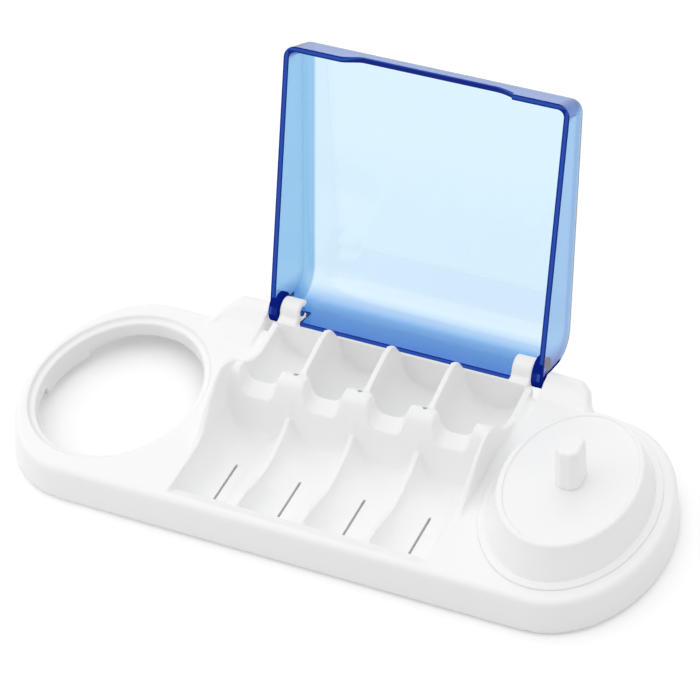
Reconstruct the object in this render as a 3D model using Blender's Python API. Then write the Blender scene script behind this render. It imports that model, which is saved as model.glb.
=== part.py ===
"""Electric toothbrush holder: a moulded tray with four bays, a hinged clear lid and an inductive charger.

Lengths are in millimetres and become metres where a mesh is made. Heights are measured from the tray's
lower edge, which its rubber feet lift off the counter. +X is right, +Y is the back and +Z is up. Each
profile's points run round its outline.
"""
import math

import bmesh
import bpy

MM = 0.001
GAP = 0.3                  # between pieces that touch, and round a piece in its hole
REACH = 4.0                # how far a cutter runs past the surface that it opens

# Tray body: straight sides with elliptical ends, open below
END_X = 76.0               # distance from the middle to the centre of each end
END_RADIUS_X = 30.1
HALF_DEPTH = 41.6
DECK_Z = 11.5
WALL = 2.0
SIDE_DRAFT = 0.9           # how far the side leans in by the foot of the rounded edge
EDGE_RADIUS = 2.2
FOOT_PROUD = 1.0           # how far the rubber feet lift the tray
MIDDLE_Y = 20.95           # middle of the depth with the lid open, which is where the origin lies

# Bays, saddle and wells, centred a little to the right of the tray's middle
BAY_X = 2.5
BAY_COUNT = 4
BAY_PITCH = 21.43
FIN = 1.8                  # dividing fins between the bays
FRONT_RIM = 3.6            # width of the front rim before it falls towards the bays
BAY_FLOOR_Z = 2.2
SADDLE_FOOT_Y = 1.0
NOTCH_LIP_Y = 5.4
NOTCH_Z = 15.4             # at the lip; the notch rises towards the well
NOTCH_RISE = 2.9
NOTCH_HALF = 5.5
NOTCH_CORNER = 3.0
SADDLE_TOP_Z = 24.0
SADDLE_TOP_Y = 9.2
SADDLE_BACK_Y = 13.6
SADDLE_SKIN = 0.5          # how far the saddle's face stands before it is cut by the bays
WELL_FRONT_Y = 10.5
WELL_ROUND = 8.5           # how far the well takes to reach its full width
REAR_FIN_Z = 22.7
BACK_WALL = 2.4
BACK_TOP_Z = 13.4
OUTER_FIN = 2.3
OUTER_LEAN = 1.5           # how far the outer fins thin towards their top
SLOT_WIDTH = 1.0
SLOT_BACK_Y = -11.0
POST_HOLE_RADIUS = 0.6
POST_HOLE_DEPTH = 3.0
POST_HOLE_Y = 12.3

# Heights along the depth, as (y, z)
BAY_FRONT_Y = FRONT_RIM - HALF_DEPTH
SLOPE_END_Y = BAY_FRONT_Y + 10.4
SLOT_FRONT_Y = SLOPE_END_Y + 0.6
FRONT_SLOPE = ((BAY_FRONT_Y, DECK_Z + 0.1), (BAY_FRONT_Y + 4.4, 9.4), (SLOPE_END_Y - 1.0, 2.8),
               (SLOPE_END_Y, BAY_FLOOR_Z))
SADDLE_FACE = ((SADDLE_FOOT_Y, BAY_FLOOR_Z), (2.9, 3.9), (4.1, 7.0), (4.9, 11.0), (NOTCH_LIP_Y + 0.6, 18.5),
               (7.6, 22.4), (SADDLE_TOP_Y, SADDLE_TOP_Z - 0.4))
FIN_TOP = ((BAY_FRONT_Y, DECK_Z + 0.1), (BAY_FRONT_Y + 4.4, 9.6), (SLOPE_END_Y, 9.2), (-21.0, 7.6), (-15.5, 6.4),
           (-9.0, 6.7), (-4.0, 8.1), (SADDLE_FOOT_Y, 9.6), (4.1, DECK_Z + 0.1))
OUTER_TOP = ((-30.0, DECK_Z - 0.2), (-18.0, DECK_Z + 0.2), (-14.0, 12.5), (-10.5, 14.3), (-7.0, 17.3),
             (-1.2, 21.9), (3.5, 24.3), (6.5, 24.9), (9.5, 24.5), (13.0, 22.5), (17.0, 18.0), (21.0, 14.7),
             (25.0, 12.8), (29.0, DECK_Z + 0.4))

# Lid and hinge
LID_HALF = 46.5
LID_LENGTH = 93.2
LID_WALL = 1.8
LID_REAR_HEIGHT = 27.0     # the top face's height over the hinge end of the rim, before rounding
LID_FRONT_HEIGHT = 14.6
LID_FRONT_DRAFT = 2.6
LID_REAR_RADIUS = 10.0
LID_FRONT_RADIUS = 5.0
LID_CORNER = 4.0
LID_SEAT = 0.4             # gap between the closed lid's rim and the deck
LID_SIDE_GAP = 0.5         # gap between the closed lid's walls and the tray beside them
LID_OPEN_DEG = 106.5
HINGE_INSET = 4.0          # from the lid's rear face to the hinge axis
HINGE_RISE = 3.0           # from the lid's rim to the hinge axis
HINGE_Y = 48.0
PIN_RADIUS = 1.5
LUG_RADIUS = 5.0
LUG_WIDTH = 3.3
CLIP_WIDTH = 6.6
CLIP_WALL = 2.1
NOTCH_GAP = 0.4            # at each side of a clip, in the lid's rear wall
GRIP_HALF = 28.0
GRIP_DEPTH = 5.5
GRIP_EASE = 6.0            # length of the grip's curved ends

# Shoulders beside the hinge
SHOULDER_OUT = 61.0
SHOULDER_BACK_Y = 51.4
SHOULDER_Z = 15.3
SHOULDER_FRONT_Y = HALF_DEPTH - 14.6

# Left ring
RING_X = -75.0
RING_Y = 0.1
RING_RIM = (27.4, 33.5)    # semi-axes of the ledge's outer edge
RING_LEDGE = 2.5
RING_LEDGE_DROP = 1.5
SKIRT = 1.6
SKIRT_Z = 5.0
TAB_Z = 2.0
TAB_FROM_DEG = 140.0
TAB_TO_DEG = 188.0

# Charger and its seat
CHARGER_X = 75.2
CHARGER_Y = 0.6
LIP = (24.7, 35.2)
LIP_Z = 11.3
LIP_HEIGHT = 0.9
SEAT_GAP = 0.5             # round the charger's lip
SEAT_Z = 5.0
SEAT_FLOOR = 2.0
SEAT_HOLE = (17.0, 26.0)
CHARGER_FOOT = (23.4, 33.6)
CHARGER_TOP = (20.7, 29.4)
CHARGER_TOP_Z = 22.5
CHARGER_EDGE = 1.8
CHARGER_WALL = 2.2
POST_HALF_X = 3.3
POST_HALF_Y = 4.4
POST_TOP_Z = 37.5
PAD_HEIGHT = 0.6
PAD_RADIUS = 1.8
COVER_THICK = 2.0
SEAL_THICK = 0.5
SEAL_WIDTH = 0.9
CORE_RADIUS = 1.5
BOBBIN_TUBE = 1.0
BOBBIN_RADIUS = 8.4
BOBBIN_FLANGE = 1.0
SCREW_RADIUS = 1.2
SCREW_HEAD_RADIUS = 2.4
SCREW_HEAD = 0.8
SCREW_LENGTH = 6.0
SCREW_PLACES = ((-13.5, 17.0), (13.5, 17.0), (0.0, -26.0))
BOSS_WALL = 1.5
BOARD_HALF_X = 13.5
BOARD_FRONT_Y = -22.6
BOARD_BACK_Y = -9.8
BOARD_THICK = 1.2
ROUND_PARTS = (            # name, x, radius, height, material
    ("power_inductor", -9.8, 2.8, 4.5, "ferrite"),
    ("filter_capacitor", 10.2, 2.6, 6.0, "black"),
)
SQUARE_PARTS = (           # name, left, right, front and back from the board's middle, height, material
    ("bridge_rectifier", 2.2, 6.4, -2.0, 2.0, 2.0, "black"),
    ("driver_chip", -5.6, -0.7, -4.0, -0.1, 1.4, "black"),
    ("input_fuse", -5.4, 0.8, 1.6, 3.8, 2.2, "nylon"),
    ("resonant_capacitor", -2.0, 5.4, -6.0, -4.4, 4.0, "film"),
)
STANDOFF = 1.5             # height of the cover's pillars over its upper face
GLAND_Y = 22.0
GLAND_RADIUS = 2.4
GLAND_BORE = 1.5
CORD_EXIT = 6.0

# Rubber feet
FOOT_RADIUS = 3.8
FOOT_THICK = 1.6
FOOT_OUT = 54.0            # from the bays' centre plane
FOOT_FRONT_Y = 9.1 - HALF_DEPTH
FOOT_REAR_Y = HINGE_Y - 4.0
FOOT_BOSS_WALL = 0.4

BAY_HALF = (BAY_PITCH - FIN) / 2
BAY_CENTRES = [(i - (BAY_COUNT - 1) / 2) * BAY_PITCH for i in range(BAY_COUNT)]
FIN_CENTRES = [(i - BAY_COUNT / 2) * BAY_PITCH for i in range(1, BAY_COUNT)]
FLANK = BAY_CENTRES[-1] + BAY_HALF + OUTER_FIN             # outer face of the bays' outer walls
RIM_Z = DECK_Z + LID_SEAT
HINGE_Z = RIM_Z + HINGE_RISE
LUG_INNER = LID_HALF - LUG_WIDTH
CLIP_CENTRE = LUG_INNER - NOTCH_GAP - CLIP_WIDTH / 2
CLIP_RADIUS = PIN_RADIUS + GAP + CLIP_WALL
BACK_Y = HINGE_Y - HINGE_INSET - LID_SIDE_GAP              # the back wall's rear face, the open lid's stop
WELL_BACK_Y = BACK_Y - BACK_WALL
SHOULDER_IN = LID_HALF + LID_SIDE_GAP
CHARGER_Z = SEAT_Z + GAP                                   # underside of the charger's pads
COVER_Z = CHARGER_Z + PAD_HEIGHT + GAP
SHELF_Z = COVER_Z + COVER_THICK + SEAL_THICK + 2 * GAP     # the housing's step over the seal
DECK_PARTS_Z = COVER_Z + COVER_THICK + STANDOFF + GAP      # where the board and the bobbin start
CEILING_Z = CHARGER_TOP_Z - CHARGER_WALL


def arc(centre, radius, start_deg, end_deg, steps):
    """Points along an arc, angles from the first axis towards the second."""
    turns = [math.radians(start_deg + (end_deg - start_deg) * i / steps) for i in range(steps + 1)]
    return [(centre[0] + radius * math.cos(t), centre[1] + radius * math.sin(t)) for t in turns]


def ellipse(centre, axes, z, steps=48, power=2.0):
    """A level ring; a power over 2 squares it up."""
    ring = []
    for i in range(steps):
        turn = 2 * math.pi * i / steps
        c, s = math.cos(turn), math.sin(turn)
        x = math.copysign(abs(c) ** (2 / power), c)
        y = math.copysign(abs(s) ** (2 / power), s)
        ring.append((centre[0] + axes[0] * x, centre[1] + axes[1] * y, z))
    return ring


def stadium(inset, z, steps=28):
    """The tray's outline drawn in by an inset."""
    ring = []
    for side, start in ((1, -90), (-1, 90)):
        for i in range(steps + 1):
            turn = math.radians(start + 180 * i / steps)
            x = side * END_X + (END_RADIUS_X - inset) * math.cos(turn)
            ring.append((x, (HALF_DEPTH - inset) * math.sin(turn), z))
    return ring


def flat(face):
    """True where a face's fourth corner lies within a micrometre of the plane of the others."""
    a, b, c, d = (vert.co for vert in face.verts)
    normal = (b - a).cross(c - a)
    return abs((d - a).dot(normal)) <= 0.001 * normal.length


def loft(rings):
    """A closed body through rings that have the same number of points."""
    body = bmesh.new()
    rows = [[body.verts.new(point) for point in ring] for ring in rings]
    for low, high in zip(rows, rows[1:]):
        for i in range(len(low)):
            j = (i + 1) % len(low)
            body.faces.new((low[i], low[j], high[j], high[i]))
    body.faces.new(rows[0][::-1])
    body.faces.new(rows[-1])
    twisted = [face for face in body.faces if len(face.verts) == 4 and not flat(face)]
    bmesh.ops.triangulate(body, faces=twisted)
    bmesh.ops.recalc_face_normals(body, faces=body.faces)
    return body


def prism(profile, start, end):
    """A (y, z) profile run along X."""
    return loft([[(x, y, z) for y, z in profile] for x in (start, end)])


def block(x0, x1, y0, y1, z0, z1):
    return prism([(y0, z0), (y1, z0), (y1, z1), (y0, z1)], x0, x1)


def turned(profile, centre=(0.0, 0.0), steps=32):
    """A (radius, z) profile as a round body."""
    return loft([ellipse(centre, (radius, radius), z, steps) for radius, z in profile])


def empty(name, place, parent=None, turn_x=0.0):
    holder = bpy.data.objects.new(name, None)
    bpy.context.collection.objects.link(holder)
    holder.location = [value * MM for value in place]
    holder.rotation_euler = (turn_x, 0.0, 0.0)
    holder.parent = parent
    return holder


def add(name, body, parent, material=None, smooth_deg=35.0):
    """Makes an object from a body in millimetres."""
    for vert in body.verts:
        vert.co *= MM
    mesh = bpy.data.meshes.new(name)
    body.to_mesh(mesh)
    body.free()
    mesh.shade_smooth()
    mesh.set_sharp_from_angle(angle=math.radians(smooth_deg))
    if material:
        mesh.materials.append(material)
    piece = bpy.data.objects.new(name, mesh)
    piece.parent = parent
    bpy.context.collection.objects.link(piece)
    return piece


def combine(target, name, body, operation):
    """Cuts a body from the target, or joins it on, and returns the hidden tool."""
    tool = add(name, body, target.parent)
    tool.hide_render = True
    tool.display_type = 'WIRE'
    step = target.modifiers.new(name, 'BOOLEAN')
    step.operation = operation
    step.object = tool
    return tool


def cut(target, name, body):
    return combine(target, name, body, 'DIFFERENCE')


def join(target, name, body):
    return combine(target, name, body, 'UNION')


def finish(name, colour, roughness, metallic=0.0, alpha=1.0):
    material = bpy.data.materials.new(name)
    material.use_nodes = True
    shader = material.node_tree.nodes["Principled BSDF"]
    shader.inputs["Base Color"].default_value = (*colour, 1.0)
    shader.inputs["Roughness"].default_value = roughness
    shader.inputs["Metallic"].default_value = metallic
    shader.inputs["Alpha"].default_value = alpha
    return material


def tray_body():
    """The outer form: slightly drafted sides and a rounded upper edge."""
    foot = (SIDE_DRAFT + EDGE_RADIUS, DECK_Z - EDGE_RADIUS)
    edge = arc(foot, EDGE_RADIUS, 180, 90, 4)
    return loft([stadium(0.0, 0.0)] + [stadium(inset, z) for inset, z in edge])


def rear_block():
    """The saddle, the walls between the wells and the back wall in one run."""
    face = [(y - SADDLE_SKIN * (1 - 0.6 * z / SADDLE_TOP_Z), z) for y, z in SADDLE_FACE]
    profile = [(face[0][0], BAY_FLOOR_Z - WALL)] + face
    profile += [(SADDLE_BACK_Y - 1.5, SADDLE_TOP_Z - 0.6), (SADDLE_BACK_Y, SADDLE_TOP_Z - 1.6),
                (SADDLE_BACK_Y + 2.4, REAR_FIN_Z - 3.0), (23.5, REAR_FIN_Z - 1.4), (30.5, REAR_FIN_Z),
                (BACK_Y - 9.0, REAR_FIN_Z - 0.1), (BACK_Y - 6.4, REAR_FIN_Z - 1.8),
                (BACK_Y - 3.6, BACK_TOP_Z + 3), (BACK_Y - 1.8, BACK_TOP_Z + 0.2),
                (BACK_Y, BACK_TOP_Z - 0.4), (BACK_Y, BAY_FLOOR_Z - WALL)]
    edge = BAY_CENTRES[-1] + BAY_HALF + 0.6
    return prism(profile, BAY_X - edge, BAY_X + edge)


def outer_trim(side):
    """Brings the saddle's end and the outermost wells' outer walls down to the outer fins' line."""
    line = [(y, z - 0.2) for y, z in OUTER_TOP if y > SADDLE_TOP_Y]
    end = BACK_Y - BACK_WALL
    top = SADDLE_TOP_Z + REACH
    profile = line + [(end, DECK_Z + 0.8), (end, top), (line[0][0], top)]
    return prism(profile, BAY_X + side * (BAY_CENTRES[-1] + 6.0), BAY_X + side * (FLANK + REACH))


def outer_fin(side):
    """The outermost wall of the bays, swept up to the saddle; it ends clear of the lid's lug."""
    back = HINGE_Y - LUG_RADIUS - LID_SIDE_GAP
    start, end = OUTER_TOP[0][0], OUTER_TOP[-1][0]
    profile = [(start, DECK_Z - WALL)] + list(OUTER_TOP)
    profile += [((end + back) / 2, DECK_Z + 0.8), (back, BACK_TOP_Z - 0.2), (back, DECK_Z - WALL)]
    inner = BAY_X + side * (FLANK - OUTER_FIN - 0.4)
    return prism(profile, inner, BAY_X + side * FLANK)


def shoulder(side):
    """A ramp that rises from the deck to the hinge and runs out into the tray's side."""
    out = SHOULDER_OUT - SHOULDER_IN
    stations = [(0.0, SHOULDER_BACK_Y, SHOULDER_Z), (0.8 * out, SHOULDER_BACK_Y - 0.4, SHOULDER_Z - 0.3),
                (out, SHOULDER_BACK_Y - 2.6, SHOULDER_Z - 1.4),
                (out + 1.8, HALF_DEPTH + 2.8, DECK_Z + 1.2), (out + 5.0, HALF_DEPTH - 0.6, DECK_Z - 0.4)]
    rings = []
    for run, back, top in stations:
        x = BAY_X + side * (SHOULDER_IN + run)
        rise = top - DECK_Z
        profile = [(SHOULDER_FRONT_Y, DECK_Z - WALL), (SHOULDER_FRONT_Y, DECK_Z - 0.3),
                   (0.5 * (SHOULDER_FRONT_Y + back), DECK_Z + 0.3 * rise),
                   (back - 7, top - 0.12 * rise), (back - 3.6, top), (back - 1.1, top - 1.1),
                   (back, top - 3.6), (back, 0.0), (back - 12, 0.0)]
        rings.append([(x, y, z) for y, z in profile])
    return loft(rings)


def clip(side):
    """A C-shaped hook on the back wall that grips the lid's pin and opens to the rear."""
    bore = PIN_RADIUS + GAP
    centre = (HINGE_Y, HINGE_Z)
    outer = arc(centre, CLIP_RADIUS, 20, 180, 10)
    inner = arc(centre, bore, 20, 315, 14)
    root = BACK_Y - BACK_WALL + 0.3
    profile = outer + [(root, HINGE_Z - 1.0), (root, HINGE_Z - CLIP_RADIUS - 3)]
    profile += arc(centre, CLIP_RADIUS, 255, 315, 4) + inner[::-1]
    middle = BAY_X + side * CLIP_CENTRE
    return prism(profile, middle - CLIP_WIDTH / 2, middle + CLIP_WIDTH / 2)


def height_at(line, y):
    """The height of a (y, z) line."""
    for (y0, z0), (y1, z1) in zip(line, line[1:]):
        if y <= y1:
            return z0 + (z1 - z0) * max(y - y0, 0.0) / (y1 - y0)
    return line[-1][1]


def trough(centre, y, half, floor, left, right, steps=12):
    """One section of a half-round channel; its sides spring from the left and right heights."""
    outline = []
    for i in range(steps + 1):
        x = -half * math.cos(math.pi * i / steps)
        spring = left if x < 0 else right
        sag = 1 - math.sqrt(max(1 - (x / BAY_HALF) ** 2, 0.0))
        outline.append((x, max(BAY_FLOOR_Z + (spring - BAY_FLOOR_Z) * sag, floor)))
    top = SADDLE_TOP_Z + REACH
    lean_left = OUTER_LEAN if centre == BAY_CENTRES[0] else 0.0
    lean_right = OUTER_LEAN if centre == BAY_CENTRES[-1] else 0.0
    bend = max(DECK_Z + 1.5, floor + 0.5)
    outline += [(half, bend), (half + lean_right, top), (-half - lean_left, top), (-half, bend)]
    return [(BAY_X + centre + x, y, z) for x, z in outline]


def bay(centre):
    """The room of one bay: a half-round trough between the front slope and the saddle's face."""
    floor = sorted(set(FRONT_SLOPE + SADDLE_FACE + ((SADDLE_TOP_Y + 1, SADDLE_TOP_Z + 2),)))
    stations = sorted({y for y, z in floor} | {y for y, z in FIN_TOP})
    rings = []
    for y in stations:
        fin = height_at(FIN_TOP, y) - 0.3
        left = DECK_Z + 0.5 if centre == BAY_CENTRES[0] else fin
        right = DECK_Z + 0.5 if centre == BAY_CENTRES[-1] else fin
        rings.append(trough(centre, y, BAY_HALF, height_at(floor, y), left, right))
    return loft(rings)


def well(centre):
    """The half-round room behind the saddle: rounded in front, with a flat back wall."""
    rings = []
    for turn in (8, 20, 34, 50, 68, 90):
        y = WELL_FRONT_Y + WELL_ROUND * (1 - math.cos(math.radians(turn)))
        half = BAY_HALF * math.sin(math.radians(turn))
        rings.append(trough(centre, y, half, BAY_FLOOR_Z, DECK_Z + 0.5, DECK_Z + 0.5))
    rings.append(trough(centre, WELL_BACK_Y, BAY_HALF, BAY_FLOOR_Z, DECK_Z + 0.5, DECK_Z + 0.5))
    return loft(rings)


def notch(centre):
    """The rounded gap in the saddle that a brush head's neck lies in."""
    top = SADDLE_TOP_Z + REACH
    flat = NOTCH_HALF - NOTCH_CORNER
    rise = NOTCH_Z + NOTCH_RISE
    rings = []
    for y, low in ((NOTCH_LIP_Y - REACH, NOTCH_Z), (NOTCH_LIP_Y, NOTCH_Z), (WELL_FRONT_Y, rise),
                   (WELL_FRONT_Y + WELL_ROUND, rise)):
        outline = arc((-flat, low + NOTCH_CORNER), NOTCH_CORNER, 180, 270, 5)
        outline += arc((flat, low + NOTCH_CORNER), NOTCH_CORNER, 270, 360, 5)
        outline += [(NOTCH_HALF + 0.8, top), (-NOTCH_HALF - 0.8, top)]
        rings.append([(BAY_X + centre + x, y, z) for x, z in outline])
    return loft(rings)


def fin_dip():
    """Lowers the fins between the front parts of the bays to their sweeping line."""
    top = DECK_Z + 0.5
    profile = list(FIN_TOP) + [(FIN_TOP[-1][0], top), (FIN_TOP[0][0], top)]
    edge = BAY_CENTRES[-1] + 1.3
    return prism(profile, BAY_X - edge, BAY_X + edge)


def bay_cutters(tray):
    cut(tray, "fin_dip", fin_dip())
    for number, centre in enumerate(BAY_CENTRES, start=1):
        middle = BAY_X + centre
        cut(tray, f"bay_room_{number}", bay(centre))
        cut(tray, f"well_room_{number}", well(centre))
        cut(tray, f"notch_{number}", notch(centre))
        slot = block(middle - SLOT_WIDTH / 2, middle + SLOT_WIDTH / 2, SLOT_FRONT_Y, SLOT_BACK_Y,
                     -REACH, BAY_FLOOR_Z + REACH)
        cut(tray, f"drain_slot_{number}", slot)
    for number, centre in enumerate(FIN_CENTRES, start=1):
        hole = turned([(POST_HOLE_RADIUS, SADDLE_TOP_Z - POST_HOLE_DEPTH - 1.0),
                       (POST_HOLE_RADIUS, SADDLE_TOP_Z + REACH)], (BAY_X + centre, POST_HOLE_Y), 10)
        cut(tray, f"post_hole_{number}", hole)


def underside(tray):
    """The moulding's open underside, which leaves the walls, seats and bosses standing."""
    roof = DECK_Z - WALL
    hollow = cut(tray, "underside", loft([stadium(WALL, -REACH), stadium(WALL + 0.5, roof)]))
    keep = FLANK
    cut(hollow, "keep_bays", block(BAY_X - keep, BAY_X + keep, BAY_FRONT_Y + 1.0, HALF_DEPTH + REACH,
                                   -2 * REACH, DECK_Z))
    skirt = (RING_RIM[0] - RING_LEDGE + SKIRT, RING_RIM[1] - RING_LEDGE + SKIRT)
    cut(hollow, "keep_skirt", loft([ellipse((RING_X, RING_Y), skirt, z) for z in (-2 * REACH, DECK_Z)]))
    cup = (LIP[0] + SEAT_GAP + WALL, LIP[1] + SEAT_GAP + WALL)
    cut(hollow, "keep_seat", loft([ellipse((CHARGER_X, CHARGER_Y), cup, z) for z in (-2 * REACH, DECK_Z)]))
    boss = FOOT_RADIUS + FOOT_BOSS_WALL
    for name, side, y in FEET:
        middle = (BAY_X + side * FOOT_OUT, y)
        body = [(boss, -2 * REACH), (boss, DECK_Z)]
        if y < 0:
            cut(hollow, f"keep_{name}", turned(body, middle, 24))
        room = [(boss, -REACH), (boss, FOOT_THICK - FOOT_PROUD + GAP)]
        cut(tray, f"room_{name}", turned(room, middle, 24))
    saddle_back = WELL_FRONT_Y - WALL
    saddle_room = [(SADDLE_FOOT_Y + WALL + 0.8, -REACH), (4.9 + WALL, 10.0), (saddle_back, 10.0),
                   (saddle_back, -REACH)]
    edge = BAY_CENTRES[-1] + BAY_HALF - FIN
    cut(tray, "saddle_hollow", prism(saddle_room, BAY_X - edge, BAY_X + edge))
    half = [(6.2, -REACH), (6.2, 0.9), (4.0, 1.8), (2.3, 2.7)]
    outline = half + [(-x, z) for x, z in half[::-1]]
    for i in range(BAY_COUNT + 1):
        middle = BAY_X + (i - BAY_COUNT / 2) * BAY_PITCH
        rings = [[(middle + x, y, z) for x, z in outline] for y in (FRONT_SLOPE[-1][0], WELL_BACK_Y - 1)]
        cut(tray, f"core_{i + 1}", loft(rings))


def left_ring(tray):
    """The through hole with a shallow ledge, and below it a skirt with one deeper tab."""
    middle = (RING_X, RING_Y)
    hole = (RING_RIM[0] - RING_LEDGE, RING_RIM[1] - RING_LEDGE)
    shelf = DECK_Z - RING_LEDGE_DROP
    rings = [ellipse(middle, hole, -REACH, 56), ellipse(middle, hole, shelf, 56)]
    rings.append(ellipse(middle, (RING_RIM[0] - 0.4, RING_RIM[1] - 0.4), shelf + 0.4, 56))
    rings.append(ellipse(middle, RING_RIM, DECK_Z + 0.1, 56))
    rings.append(ellipse(middle, RING_RIM, DECK_Z + REACH, 56))
    cut(tray, "ring_room", loft(rings))
    outer = (hole[0] + SKIRT + 0.2, hole[1] + SKIRT + 0.2)
    trim = cut(tray, "skirt_trim", loft([ellipse(middle, outer, z) for z in (-REACH, SKIRT_Z)]))
    reach = 2 * END_RADIUS_X
    wedge = [middle] + arc(middle, reach, TAB_FROM_DEG, TAB_TO_DEG, 6)
    cut(trim, "keep_tab", loft([[(x, y, z) for x, y in wedge] for z in (TAB_Z, SKIRT_Z + REACH)]))


def charger_seat(tray):
    """The oval room for the charger, its pierced floor and the way out for a cord."""
    middle = (CHARGER_X, CHARGER_Y)
    room = (LIP[0] + SEAT_GAP, LIP[1] + SEAT_GAP)
    cut(tray, "seat_room", loft([ellipse(middle, room, z, 56) for z in (SEAT_Z, DECK_Z + REACH)]))
    cut(tray, "seat_below", loft([ellipse(middle, room, z) for z in (-REACH, SEAT_Z - SEAT_FLOOR)]))
    cut(tray, "seat_hole", loft([ellipse(middle, SEAT_HOLE, z, 40) for z in (0.0, SEAT_Z + REACH)]))
    half = CORD_EXIT / 2
    cut(tray, "cord_way", block(CHARGER_X - half, CHARGER_X + half, CHARGER_Y + room[1] - REACH,
                                HALF_DEPTH + REACH, -REACH, SEAT_Z - SEAT_FLOOR - 0.1))


def base_tray(frame, material):
    tray = add("base_tray", tray_body(), frame, material)
    join(tray, "rear_block", rear_block())
    for side, word in ((-1, "left"), (1, "right")):
        cut(tray, f"outer_trim_{word}", outer_trim(side))
        join(tray, f"outer_fin_{word}", outer_fin(side))
        join(tray, f"shoulder_{word}", shoulder(side))
    underside(tray)
    bay_cutters(tray)
    left_ring(tray)
    charger_seat(tray)
    for side, word in ((-1, "left"), (1, "right")):
        join(tray, f"clip_{word}", clip(side))
    return tray


FEET = [("tray_foot_front_left", -1, FOOT_FRONT_Y), ("tray_foot_front_right", 1, FOOT_FRONT_Y),
        ("tray_foot_rear_left", -1, FOOT_REAR_Y), ("tray_foot_rear_right", 1, FOOT_REAR_Y)]


def tray_feet(frame, material):
    top = FOOT_THICK - FOOT_PROUD
    profile = [(FOOT_RADIUS - 0.4, -FOOT_PROUD), (FOOT_RADIUS, -FOOT_PROUD + 0.4), (FOOT_RADIUS, top)]
    for name, side, y in FEET:
        add(name, turned(profile, (BAY_X + side * FOOT_OUT, y), 24), frame, material)


def lid_profile(wall, low):
    """The closed lid's side outline from the hinge axis, drawn in by a wall's thickness."""
    rear = HINGE_INSET - wall
    front = HINGE_INSET - LID_LENGTH
    base = -HINGE_RISE
    slope = math.atan2(LID_REAR_HEIGHT - LID_FRONT_HEIGHT, LID_LENGTH)
    drop = wall / math.cos(slope)

    def top(y):
        return base + LID_REAR_HEIGHT - (HINGE_INSET - y) * math.tan(slope) - drop

    lean = math.atan2(LID_FRONT_DRAFT, LID_FRONT_HEIGHT)
    side = wall / math.cos(lean)

    def face(z):
        return front + side + (z - base) * math.tan(lean)

    rear_radius = LID_REAR_RADIUS - wall
    centre_y = rear - rear_radius
    rear_centre = (centre_y, top(centre_y) - rear_radius / math.cos(slope))
    radius = LID_FRONT_RADIUS - wall
    y = front + LID_FRONT_DRAFT + wall + radius
    for _ in range(8):
        z = top(y) - radius / math.cos(slope)
        y = face(z) + radius / math.cos(lean)
    tilt = math.degrees(slope)
    points = [(rear, low)] + arc(rear_centre, rear_radius, 0, 90 + tilt, 8)
    points += arc((y, z), radius, 90 + tilt, 180 - math.degrees(lean), 5)
    return points + [(face(low), low)]


def lid_form(wall):
    """The lid as a full body whose two ends are rounded over; the inner one runs out below the rim."""
    low = -HINGE_RISE - (REACH if wall else 0.0)
    radius = LID_CORNER - wall
    bend = arc((0.0, 0.0), radius, 0, 90, 5)
    stations = [(LID_HALF - wall - radius + x, radius - inset) for x, inset in bend]
    rings = []
    for x, inset in [(-x, inset) for x, inset in stations] + stations[::-1]:
        rings.append([(x, y, z) for y, z in lid_profile(wall + inset, low)])
    return loft(rings)


def lid_shell(axis, material):
    """The clear lid, modelled closed round the hinge axis."""
    lid = add("lid_shell", lid_form(0.0), axis, material)
    cut(lid, "lid_room", lid_form(LID_WALL))
    for side, word in ((-1, "left"), (1, "right")):
        near = side * (CLIP_CENTRE - CLIP_WIDTH / 2 - NOTCH_GAP)
        far = side * (LUG_INNER + LUG_WIDTH / 4)
        cut(lid, f"clip_notch_{word}", block(near, far, HINGE_INSET - LID_WALL - 1, HINGE_INSET + REACH,
                                             -HINGE_RISE - REACH, CLIP_RADIUS + 1.2))
        cheek = prism(arc((0.0, 0.0), LUG_RADIUS, 5, 350, 23), side * LUG_INNER, side * (LID_HALF - 0.4))
        join(lid, f"lug_{word}", cheek)
        pin_end = side * (LUG_INNER - NOTCH_GAP - CLIP_WIDTH)
        pin = prism(arc((0.0, 0.0), PIN_RADIUS, 10, 347.5, 15), pin_end, side * (LUG_INNER + LUG_WIDTH / 2))
        join(lid, f"pin_{word}", pin)
    front = HINGE_INSET - LID_LENGTH
    ease = []
    for i in range(7):
        ease.append((GRIP_HALF - GRIP_EASE * i / 6, GRIP_DEPTH * (1 - math.cos(math.pi * i / 6)) / 2))
    grip = [(GRIP_HALF, -REACH)] + ease + [(-x, z) for x, z in ease[::-1]] + [(-GRIP_HALF, -REACH)]
    rings = [[(x, y, z - HINGE_RISE) for x, z in grip] for y in (front - REACH, front + LID_WALL + REACH)]
    cut(lid, "finger_notch", loft(rings))


def charger_form():
    """The charger's outer form: a plug that sits in the tray, a fine lip and a flared upper part."""
    plug = (LIP[0] - 0.8, LIP[1] - 1.0)
    edge_z = CHARGER_TOP_Z - CHARGER_EDGE
    rings = [(plug, COVER_Z - GAP + 0.1), (plug, LIP_Z - 0.3), (LIP, LIP_Z), (LIP, LIP_Z + LIP_HEIGHT),
             (CHARGER_FOOT, LIP_Z + LIP_HEIGHT + 0.3), (CHARGER_TOP, edge_z)]
    for inset, rise in arc((CHARGER_EDGE, 0.0), CHARGER_EDGE, 180, 90, 4)[1:]:
        rings.append(((CHARGER_TOP[0] - inset, CHARGER_TOP[1] - inset), edge_z + rise))
    return loft([ellipse((0.0, 0.0), axes, z, 56) for axes, z in rings])


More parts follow.
